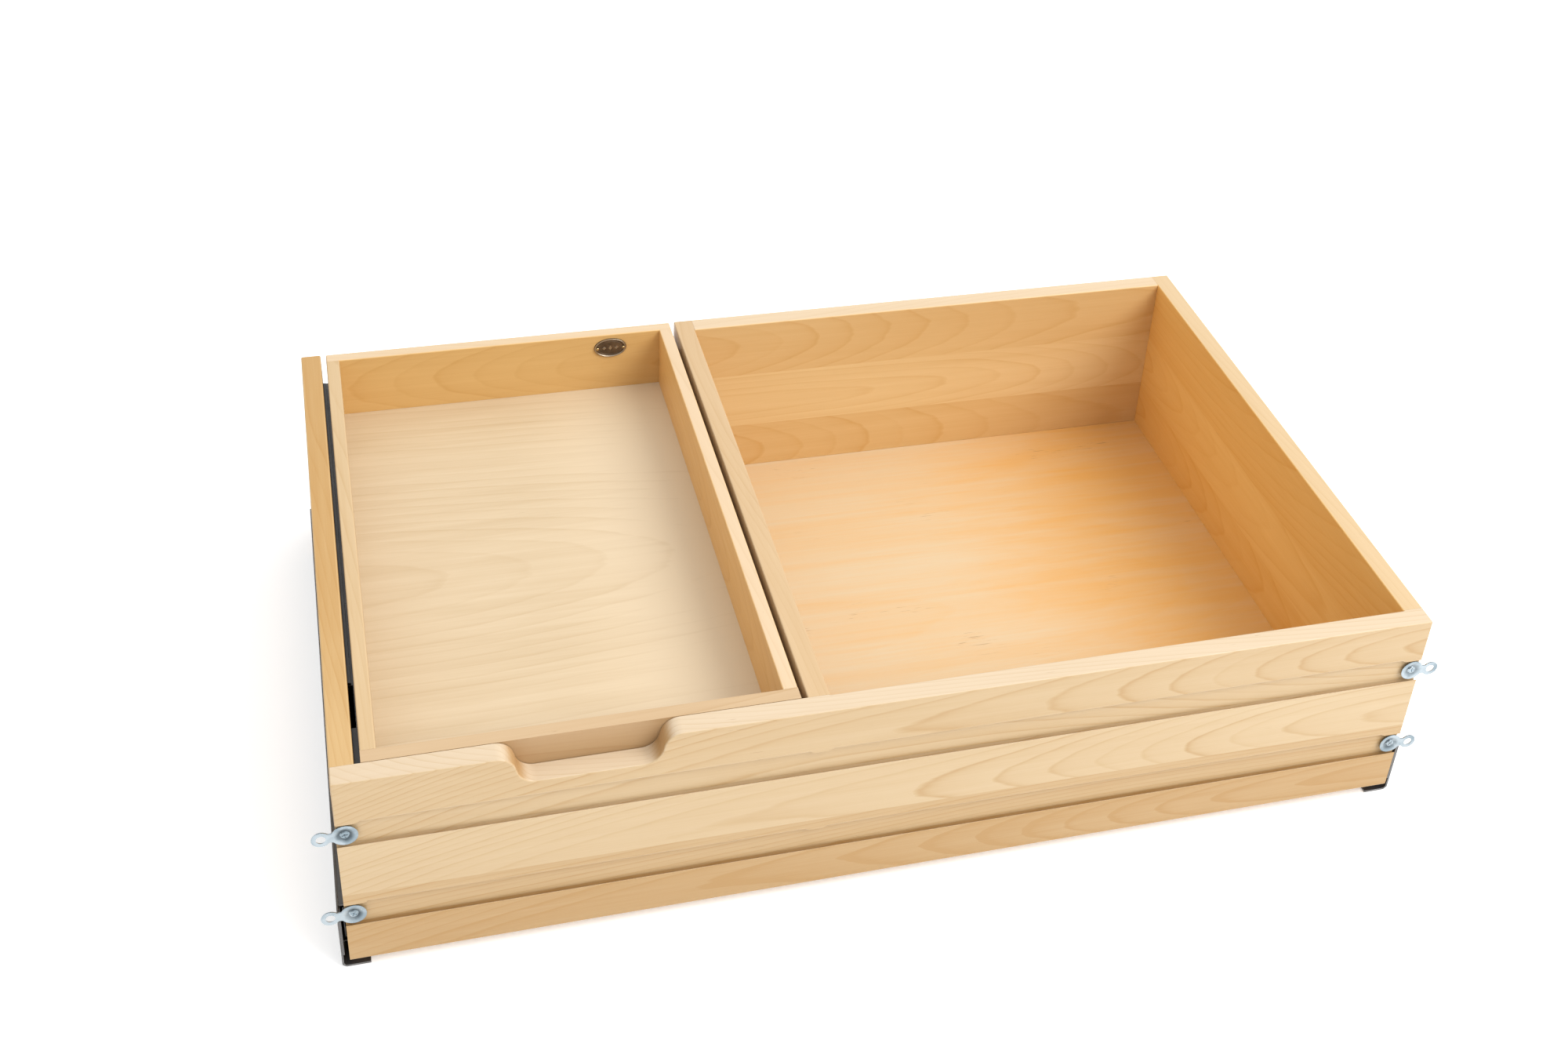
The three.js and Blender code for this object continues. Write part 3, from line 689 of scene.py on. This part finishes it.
def makeBoard(board):
    shape = solidFrom(board)
    sliceForNeighbours(shape, board)
    neighbours = [tree for name, tree in boardTrees.items() if name != board]
    clear = boardEase["clearance"]
    candidates = [edge for edge in sharpOutwardEdges(shape, 40) if isFree(edge, neighbours, clear)]
    overhangs, ledges, free = [], [], []
    frontLow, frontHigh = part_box("front_panel")
    low = frontLow.z + boardEase["grooveZone"][0]
    high = frontHigh.z - boardEase["grooveZone"][1]
    for edge in candidates:
        middle = (edge.verts[0].co + edge.verts[1].co) / 2
        long = (edge.verts[0].co - edge.verts[1].co).length
        if board == "front_panel" and low < middle.z < high:
            if abs(middle.y - frontLow.y) < 0.1 * mm and long > boardEase["grooveLong"]:
                below = min(face.normal.z for face in edge.link_faces) < -0.3
                (overhangs if below else ledges).append(edge)
        elif long > boardEase["shortest"]:
            free.append(edge)
    easeEdges(shape, free, boardEase["free"], boardEase["segments"])
    for width, edges in (("overhang", overhangs), ("ledge", ledges)):
        if edges:
            left = [edge for edge in edges if edge.is_valid]
            easeEdges(shape, left, boardEase[width], boardEase["segments"])
    piece = finishPiece(shape, board + "_board", materials[board])
    slot = "tray_maple" if board.startswith("tray") else "box_maple"
    register(piece, slot, board)


for board in boards:
    makeBoard(board)
print("boards made:", len(boards))

# steel pieces

steelEaseSegments = 2
steelKinds = {
    "floor_bracket": ("black", "black_steel", 0.35 * mm),
    "cabinet_rail": ("black", "black_steel", 0.25 * mm),
    "middle_rail": ("black", "black_steel", 0.2 * mm),
    "drawer_rail": ("black", "black_steel", 0.2 * mm),
    "fixed_rail": ("black", "black_steel", 0.2 * mm),
    "tray_rail": ("black", "black_steel", 0.2 * mm),
    "tray_latch": ("zinc", "zinc_steel", 0.2 * mm),
    "rear_bumper": ("rubber", "bumper_rubber", 0.5 * mm),
}
for side in ("left", "right"):
    for kind, (finish, slot, width) in steelKinds.items():
        node = f"{side}_{kind}"
        shape = solidFrom(node)
        edges = [edge for edge in sharpOutwardEdges(shape, 25) if edge.calc_length() > 0.6 * mm]
        easeEdges(shape, edges, width, steelEaseSegments)
        register(finishPiece(shape, node + "_steel", materials[finish]), slot, node)
print("steel made")

# clips

clipLook = {
    "reach": 17.3 * mm,  # from the screw to the middle of the ring
    "droop": 3.0,  # degrees below level
    "discSteps": 64,
    "ringSteps": 48,
    "neckHalf": 5,  # steps each side of the neck's middle
    # radius and depth of each step, outwards, in millimetres
    "disc": (
        (2.8, 1.1), (4.0, 1.1), (4.6, 1.0), (5.6, 0.66), (6.8, 0.26),
        (7.8, 0.05), (8.6, 0.0), (9.4, 0.04), (9.8, 0.2)),
    "ring": ((3.5, 0.12), (3.8, 0.0), (6.6, 0.0), (7.1, 0.15)),
    "neckPinch": 0.08,  # share of its width the neck loses in the middle
    "sheet": 1.1 * mm,
    "rim": 0.18 * mm,
}


def makeClip(node, side, look):
    low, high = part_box(node)
    screwLow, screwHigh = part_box(node + "_screw")
    middle = (screwLow + screwHigh) / 2
    droop = math.radians(look["droop"])
    outward = Vector((side * math.cos(droop), 0, -math.sin(droop)))
    upward = Vector((math.sin(droop) * side, 0, math.cos(droop)))
    shape = bmesh.new()
    patinaAndPaintedShade = shape.verts.layers.float.new("patinaAndPaintedShade")

    def point(u, v, depth):
        place = Vector((middle.x, low.y, middle.z)) + outward * u + upward * v
        vert = shape.verts.new(place + Vector((0, depth * mm, 0)))
        # painted shade: the dish darkens with its depth around the screw
        vert[patinaAndPaintedShade] = min(1.0, depth / 0.9) if depth > 0.2 else 0.0
        return vert

    def fan(centre, profile, steps, neckAt):
        rows = []
        for radius, depth in profile:
            row = []
            for step in range(steps):
                away = min((step - neckAt) % steps, (neckAt - step) % steps)
                inNeck = away <= look["neckHalf"] and radius > profile[-3][0]
                angle = 2 * math.pi * step / steps
                u = centre + radius * mm * math.cos(angle)
                row.append(point(u, radius * mm * math.sin(angle), 0 if inNeck else depth))
            rows.append(row)
        for inner, outer in zip(rows, rows[1:]):
            for step in range(steps):
                after = (step + 1) % steps
                shape.faces.new((inner[step], outer[step], outer[after], inner[after]))
        return rows[-1]

    disc = fan(0, look["disc"], look["discSteps"], 0)
    ring = fan(look["reach"], look["ring"], look["ringSteps"], look["ringSteps"] // 2)
    half = look["neckHalf"]
    near = [disc[step % look["discSteps"]] for step in range(-half, half + 1)]
    facing = look["ringSteps"] // 2
    far = [ring[(facing - step) % look["ringSteps"]] for step in range(-half, half + 1)]
    rows = [near]
    for share in (0.33, 0.67):
        row = []
        for start, end in zip(near, far):
            place = start.co.lerp(end.co, share)
            pull = 1 - look["neckPinch"] * (1 - abs(2 * share - 1))
            across = (place - middle).dot(upward)
            place += upward * across * (pull - 1)
            row.append(shape.verts.new(place))
        rows.append(row)
    rows.append(far)
    for first, second in zip(rows, rows[1:]):
        for index in range(len(first) - 1):
            shape.faces.new((first[index], second[index], second[index + 1], first[index + 1]))
    shape.normal_update()
    bmesh.ops.reverse_faces(shape, faces=[face for face in shape.faces if face.normal.y > 0])
    piece = finishPiece(shape, node + "_plate", materials["zinc"])
    thick = piece.modifiers.new("sheet", "SOLIDIFY")
    thick.thickness = look["sheet"]
    thick.offset = -1
    rounded = piece.modifiers.new("rim", "BEVEL")
    rounded.width = look["rim"]
    rounded.segments = 2
    rounded.limit_method = "ANGLE"
    rounded.angle_limit = math.radians(50)
    register(piece, "zinc_steel", node)


for side, sign in (("left", -1), ("right", 1)):
    for row in ("upper", "lower"):
        makeClip(f"{side}_{row}_clip", sign, clipLook)
print("clips made")

# screws, set out with geometry nodes

# all in millimetres
screwKinds = {
    "clip_screw": {
        "headRadius": 3.9, "headTall": 2.4, "shank": 1.8, "long": 13.6, "cross": 0.95, "crossLong": 2.3},
    "slide_screw": {
        "headRadius": 3.4, "headTall": 1.6, "shank": 1.4, "long": 9.0, "cross": 0.8, "crossLong": 2.0},
    "fixed_rail_screw": {
        "headRadius": 2.6, "headTall": 0.9, "shank": 1.1, "long": 6.8, "cross": 0.6, "crossLong": 1.6},
    "tray_rail_screw": {
        "headRadius": 2.6, "headTall": 0.8, "shank": 1.1, "long": 7.6, "cross": 0.6, "crossLong": 1.6},
}
screwSeeds = {"left": 4, "right": 9}


def geometryTree(name, inputs):
    tree = bpy.data.node_groups.new(name, "GeometryNodeTree")
    tree.interface.new_socket("Geometry", in_out="INPUT", socket_type="NodeSocketGeometry")
    for label, kind in inputs:
        tree.interface.new_socket(label, in_out="INPUT", socket_type=kind)
    tree.interface.new_socket("Geometry", in_out="OUTPUT", socket_type="NodeSocketGeometry")
    return tree, addNode(tree, "NodeGroupInput").outputs, addNode(tree, "NodeGroupOutput").inputs


def setInputs(modifier, values):
    for item in modifier.node_group.interface.items_tree:
        if item.item_type == "SOCKET" and item.in_out == "INPUT" and item.name in values:
            modifier[item.identifier] = values[item.name]


def moved(tree, geometry, offset, turn=(0, 0, 0)):
    made = addNode(tree, "GeometryNodeTransform")
    tree.links.new(geometry, made.inputs["Geometry"])
    feed(tree, made.inputs["Translation"], offset)
    made.inputs["Rotation"].default_value = turn
    return made.outputs[0]


def downBy(tree, distance):
    made = addNode(tree, "ShaderNodeCombineXYZ")
    tree.links.new(calc(tree, "MULTIPLY", distance, -1.0), made.inputs["Z"])
    return made.outputs[0]


def cone(tree, topRadius, lowRadius, depth, sides):
    made = addNode(tree, "GeometryNodeMeshCone")
    made.inputs["Vertices"].default_value = sides
    feed(tree, made.inputs["Radius Top"], topRadius)
    feed(tree, made.inputs["Radius Bottom"], lowRadius)
    feed(tree, made.inputs["Depth"], depth)
    return made.outputs["Mesh"]


# instances become a plain mesh with its material
def realise(tree, placed, material, result):
    solid = addNode(tree, "GeometryNodeRealizeInstances")
    tree.links.new(placed.outputs[0], solid.inputs[0])
    painted = addNode(tree, "GeometryNodeSetMaterial")
    tree.links.new(solid.outputs[0], painted.inputs["Geometry"])
    tree.links.new(material, painted.inputs["Material"])
    tree.links.new(painted.outputs[0], result)


def screwTree():
    sizes = ("HeadRadius", "HeadTall", "Shank", "Long", "Cross", "CrossLong")
    inputs = [(label, numberKind) for label in sizes]
    inputs += [("Seed", "NodeSocketInt"), ("Turn", "NodeSocketRotation"), ("Material", "NodeSocketMaterial")]
    tree, given, result = geometryTree("screwRow", inputs)
    crown = calc(tree, "MULTIPLY", given["HeadTall"], 0.3)
    taper = calc(tree, "MULTIPLY", given["HeadTall"], 0.75)
    flat = calc(tree, "MULTIPLY", given["HeadRadius"], 0.78)
    dome = moved(tree, cone(tree, flat, given["HeadRadius"], crown, 28), downBy(tree, crown))
    brim = calc(tree, "MULTIPLY", given["HeadRadius"], 0.96)
    sunk = calc(tree, "MULTIPLY_ADD", taper, 0.92, crown)
    seat = moved(tree, cone(tree, brim, given["Shank"], taper, 28), downBy(tree, sunk))
    buried = calc(tree, "MULTIPLY_ADD", taper, 0.6, crown)
    thin = calc(tree, "MULTIPLY", given["Shank"], 0.35)
    length = calc(tree, "SUBTRACT", given["Long"], buried)
    shank = moved(tree, cone(tree, given["Shank"], thin, length, 14), downBy(tree, given["Long"]))
    whole = addNode(tree, "GeometryNodeMeshBoolean", operation="UNION")
    for part in (dome, seat, shank):
        tree.links.new(part, whole.inputs[1])
    recess = addNode(tree, "GeometryNodeMeshBoolean", operation="DIFFERENCE")
    tree.links.new(whole.outputs[0], recess.inputs[0])
    for turn in (0, 1):
        bar = addNode(tree, "GeometryNodeMeshCube")
        size = addNode(tree, "ShaderNodeCombineXYZ")
        tree.links.new(given["CrossLong"] if turn == 0 else given["Cross"], size.inputs[0])
        tree.links.new(given["Cross"] if turn == 0 else given["CrossLong"], size.inputs[1])
        tree.links.new(crown, size.inputs[2])
        tree.links.new(size.outputs[0], bar.inputs["Size"])
        tree.links.new(bar.outputs["Mesh"], recess.inputs[1])
    spin = addNode(tree, "FunctionNodeRandomValue")
    spin.inputs[2].default_value = 0.0
    spin.inputs[3].default_value = math.pi / 2
    tree.links.new(given["Seed"], spin.inputs["Seed"])
    about = addNode(tree, "FunctionNodeAxisAngleToRotation")
    about.inputs[0].default_value = (0, 0, 1)
    tree.links.new(spin.outputs[1], about.inputs[1])
    facing = addNode(tree, "FunctionNodeRotateRotation", rotation_space="LOCAL")
    tree.links.new(given["Turn"], facing.inputs[0])
    tree.links.new(about.outputs[0], facing.inputs[1])
    placed = addNode(tree, "GeometryNodeInstanceOnPoints")
    tree.links.new(given["Geometry"], placed.inputs["Points"])
    tree.links.new(recess.outputs[0], placed.inputs["Instance"])
    tree.links.new(facing.outputs[0], placed.inputs["Rotation"])
    realise(tree, placed, given["Material"], result[0])
    return tree


def grown(name, points, edges, tree, values):
    mesh = bpy.data.meshes.new(name)
    mesh.from_pydata(points, edges, [])
    holder = bpy.data.objects.new(name, mesh)
    scene.collection.objects.link(holder)
    modifier = holder.modifiers.new(name, "NODES")
    modifier.node_group = tree
    setInputs(modifier, values)
    evaluated = holder.evaluated_get(bpy.context.evaluated_depsgraph_get())
    result = bpy.data.meshes.new_from_object(evaluated)
    bpy.data.objects.remove(holder)
    return result


def screwsOn(body, name):
    shape = bmesh.new()
    taken = []
    tree = bpy.data.node_groups.get("screwRow") or screwTree()
    for kind, size in screwKinds.items():
        for side, sign in (("left", -1), ("right", 1)):
            mine = [n for n in frame["nodes"] if n.startswith(side) and kind in n and bodyOf[n] == body]
            if not mine:
                continue
            headWay = -sign if kind == "fixed_rail_screw" else sign
            points = []
            for node in mine:
                low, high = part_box(node)
                place = (low + high) / 2
                if kind == "clip_screw":
                    place.y = low.y
                else:
                    place.x = high.x if headWay > 0 else low.x
                points.append(place)
            turn = (math.pi / 2, 0, 0) if kind == "clip_screw" else (0, headWay * math.pi / 2, 0)
            values = {
                "HeadRadius": size["headRadius"] * mm, "HeadTall": size["headTall"] * mm,
                "Shank": size["shank"] * mm, "Long": size["long"] * mm,
                "Cross": size["cross"] * mm, "CrossLong": 2 * size["crossLong"] * mm,
                "Seed": screwSeeds[side], "Turn": turn, "Material": materials["zinc"]}
            shape.from_mesh(grown(kind, points, [], tree, values))
            taken += mine
    bmesh.ops.remove_doubles(shape, verts=shape.verts, dist=0.002 * mm)
    register(finishPiece(shape, name, materials["zinc"]), "zinc_steel", *taken)


screwsOn("drawer", "drawer_screws")
screwsOn("tray", "tray_screws")
print("screws made")

# ball cages

cageKinds = {
    "outer_ball_cage": {"ball": 1.35, "fromLip": 2.0, "sheet": 0.6, "web": 0.5, "pitch": 12.0},
    "inner_ball_cage": {"ball": 1.3, "fromLip": 2.2, "sheet": 0.6, "web": 0.5, "pitch": 12.0},
    "tray_ball_cage": {"ball": 1.1, "fromLip": 1.6, "sheet": 0.6, "web": 0.5, "pitch": 11.0},
}


def ballTree():
    inputs = [("Radius", numberKind), ("Pitch", numberKind), ("Material", "NodeSocketMaterial")]
    tree, given, result = geometryTree("ballRows", inputs)
    line = addNode(tree, "GeometryNodeMeshToCurve")
    tree.links.new(given["Geometry"], line.inputs["Mesh"])
    even = addNode(tree, "GeometryNodeResampleCurve", mode="LENGTH")
    tree.links.new(line.outputs[0], even.inputs["Curve"])
    tree.links.new(given["Pitch"], even.inputs["Length"])
    ball = addNode(tree, "GeometryNodeMeshIcoSphere")
    ball.inputs["Subdivisions"].default_value = 2
    tree.links.new(given["Radius"], ball.inputs["Radius"])
    placed = addNode(tree, "GeometryNodeInstanceOnPoints")
    tree.links.new(even.outputs[0], placed.inputs["Points"])
    tree.links.new(ball.outputs["Mesh"], placed.inputs["Instance"])
    realise(tree, placed, given["Material"], result[0])
    return tree


def makeCage(node, sign, look):
    low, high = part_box(node)
    sheet, web = look["sheet"] * mm, look["web"] * mm
    outer = high.x if sign > 0 else low.x
    lip = low.x if sign > 0 else high.x
    inner = outer - sign * web
    profile = [
        (outer, low.z), (lip, low.z), (lip, low.z + sheet), (inner, low.z + sheet),
        (inner, high.z - sheet), (lip, high.z - sheet), (lip, high.z), (outer, high.z)]
    shape = bmesh.new()
    ends = []
    for y in (low.y, high.y):
        ends.append([shape.verts.new((x, y, z)) for x, z in profile])
    for index in range(len(profile)):
        after = (index + 1) % len(profile)
        shape.faces.new((ends[0][index], ends[0][after], ends[1][after], ends[1][index]))
    shape.faces.new(ends[0])
    shape.faces.new(ends[1])
    bmesh.ops.recalc_face_normals(shape, faces=shape.faces)
    easeEdges(shape, sharpOutwardEdges(shape, 40), 0.12 * mm, 1)
    ballX = lip + sign * look["fromLip"] * mm
    margin = 3 * mm
    points = []
    for z in (low.z + sheet / 2, high.z - sheet / 2):
        points += [(ballX, low.y + margin, z), (ballX, high.y - margin, z)]
    values = {"Radius": look["ball"] * mm, "Pitch": look["pitch"] * mm, "Material": materials["zinc"]}
    tree = bpy.data.node_groups.get("ballRows") or ballTree()
    shape.from_mesh(grown(node, points, [(0, 1), (2, 3)], tree, values))
    register(finishPiece(shape, node + "_with_balls", materials["zinc"], 40), "zinc_steel", node)


for side, sign in (("left", -1), ("right", 1)):
    for kind, look in cageKinds.items():
        makeCage(f"{side}_{kind}", sign, look)
print("ball cages made")

# badge

badgeLook = {
    "steps": 128,
    "rings": 44,
    "thick": 1.6 * mm,
    "rim": (0.86, 0.97),  # share of the plate's size
    "bead": 0.74,
    "lozenge": (2.3, 3.4),  # half width and half height in millimetres
    "lozengePitch": 6.2,
}


def badgeHeight(u, v, share, look):
    inner, outer = look["rim"]
    height = 0.62
    if share > inner:
        height = 1.0 - 0.9 * max(0.0, (share - outer) / (1 - outer)) ** 2
        height -= 0.38 * max(0.0, 1 - (share - inner) / 0.04)
    height += 0.16 * max(0.0, 1 - abs(share - look["bead"]) / 0.03)
    wide, tall = look["lozenge"]
    for index in (-1, 0, 1):
        away = abs(u - index * look["lozengePitch"]) / wide + abs(v) / (tall if index == 0 else tall * 0.7)
        height += 0.32 * min(1.0, max(0.0, 2.6 * (1 - away)))
    return height


def joinRows(shape, rows):
    for inner, outer in zip(rows, rows[1:]):
        for step in range(len(inner)):
            after = (step + 1) % len(inner)
            shape.faces.new((inner[step], inner[after], outer[after], outer[step]))


def makeBadge(node, look):
    low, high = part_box(node)
    middle = (low + high) / 2
    halfLong, halfTall = (high.x - low.x) / 2, (high.z - low.z) / 2
    shape = bmesh.new()
    rows = []
    for ringIndex in range(look["rings"] + 1):
        share = (ringIndex / look["rings"]) ** 0.8
        row = []
        for step in range(look["steps"]):
            angle = 2 * math.pi * step / look["steps"]
            u, v = share * halfLong * math.cos(angle), share * halfTall * math.sin(angle)
            height = badgeHeight(u / mm, v / mm, share, look)
            row.append(shape.verts.new((middle.x + u, high.y - height * look["thick"], middle.z + v)))
        rows.append(row)
    backRow = [shape.verts.new((vert.co.x, high.y, vert.co.z)) for vert in rows[-1]]
    rows.append(backRow)
    joinRows(shape, rows)
    shape.faces.new(backRow)
    bmesh.ops.remove_doubles(shape, verts=shape.verts, dist=joined)
    bmesh.ops.recalc_face_normals(shape, faces=shape.faces)
    handled = shape.verts.layers.float.new("handled")
    patinaAndPaintedShade = shape.verts.layers.float.new("patinaAndPaintedShade")
    for vert in shape.verts:
        height = (high.y - vert.co.y) / look["thick"]
        vert[handled] = min(1.0, max(0.0, (height - 0.68) / 0.2))
        vert[patinaAndPaintedShade] = min(0.8, max(0.0, (0.62 - height) / 0.2))
    register(finishPiece(shape, node + "_oval", materials["bronze"], 50), "badge_bronze", node)


pinLook = {
    "steps": 24,
    "domeShare": 0.42,  # share of the pin's length that is its domed head
    # share of the radius and of the dome's height, from its top
    "profile": (
        (0.0, 1.0), (0.3, 0.97), (0.6, 0.82), (0.82, 0.55),
        (0.96, 0.25), (1.0, 0.0), (0.42, 0.0), (0.42, -1.2)),
}


def makePin(node):
    low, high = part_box(node)
    middle = (low + high) / 2
    tall = (high.y - low.y) * pinLook["domeShare"]
    radius = (high.x - low.x) / 2
    shape = bmesh.new()
    rows = []
    steps = pinLook["steps"]
    for share, height in pinLook["profile"]:
        row = []
        for step in range(steps):
            angle = 2 * math.pi * step / steps
            place = (middle.x + share * radius * math.cos(angle), low.y + tall * (1 - height),
                     middle.z + share * radius * math.sin(angle))
            row.append(shape.verts.new(place))
        rows.append(row)
    joinRows(shape, rows)
    shape.faces.new(rows[-1])
    bmesh.ops.remove_doubles(shape, verts=shape.verts, dist=joined)
    bmesh.ops.recalc_face_normals(shape, faces=shape.faces)
    register(finishPiece(shape, node + "_dome", materials["brass"], 50), "badge_brass", node)


makeBadge("badge_plate", badgeLook)
makePin("badge_pin_left")
makePin("badge_pin_right")
print("badge made")

# floor and light

stageLook = {
    "floorReach": 9,  # metres from the middle to each side
    "floor": (0.93, 0.93, 0.93),
    "floorGlow": 0.28,  # a little light of its own keeps the floor white
    "horizon": 0.5,  # brightness of the sky low down
    "overhead": 0.8,  # added straight above
    "sideGlow": 0.35,  # added towards the glow
    "glowFrom": (0.6, -0.6, 0.5),
    "roomFrom": (-0.1, -1.0, 0.16),  # the darker room in front of the drawer
    "roomShade": 0.85,
}


def makeFloor(look):
    shape = bmesh.new()
    bmesh.ops.create_grid(shape, x_segments=2, y_segments=2, size=look["floorReach"])
    material, tree, shader, place = newMaterial("paleFloor")
    colour = mixColour(tree, noiseOf(tree, place, 4, 2), (*look["floor"], 1), (0.95, 0.95, 0.95, 1))
    tree.links.new(colour, shader.inputs["Base Color"])
    shader.inputs["Roughness"].default_value = 0.9
    shader.inputs["Emission Color"].default_value = (1, 1, 1, 1)
    shader.inputs["Emission Strength"].default_value = look["floorGlow"]
    finishPiece(shape, "floor", material)


makeFloor(stageLook)


def makeSky(look):
    world = bpy.data.worlds.new("studio")
    world.use_nodes = True
    tree = world.node_tree
    way = addNode(tree, "ShaderNodeTexCoord").outputs["Generated"]
    up = calc(tree, "MAXIMUM", axesOf(tree, way)["Z"], 0.0)
    light = calc(tree, "MULTIPLY_ADD", up, look["overhead"], look["horizon"])
    towards = facingOf(tree, way, Vector(look["glowFrom"]).normalized())
    glow = calc(tree, "POWER", calc(tree, "MAXIMUM", towards, 0.0), 3.0)
    light = calc(tree, "MULTIPLY_ADD", glow, look["sideGlow"], light)
    ahead = facingOf(tree, way, Vector(look["roomFrom"]).normalized())
    room = spread(tree, ahead, 0.82, 0.97, 1.0, 1.0 - look["roomShade"], smooth=True)
    light = calc(tree, "MULTIPLY", light, room)
    tree.nodes["Background"].inputs["Color"].default_value = (1, 1, 1, 1)
    tree.links.new(light, tree.nodes["Background"].inputs["Strength"])
    scene.world = world


makeSky(stageLook)


keyLook = {"place": (2.1, -1.8, 2.8), "target": (0, 0, 0.1), "size": 2.6, "power": 105}


def softLight(name, place, target, size, power):
    data = bpy.data.lights.new(name, "AREA")
    data.shape = "DISK"
    data.size = size
    data.energy = power
    light = bpy.data.objects.new(name, data)
    scene.collection.objects.link(light)
    aim = (Vector(target) - Vector(place)).to_track_quat("-Z", "Y")
    light.matrix_world = Matrix.Translation(place) @ aim.to_matrix().to_4x4()


softLight("key", **keyLook)
scene.view_settings.view_transform = "Standard"
print("floor and light made")
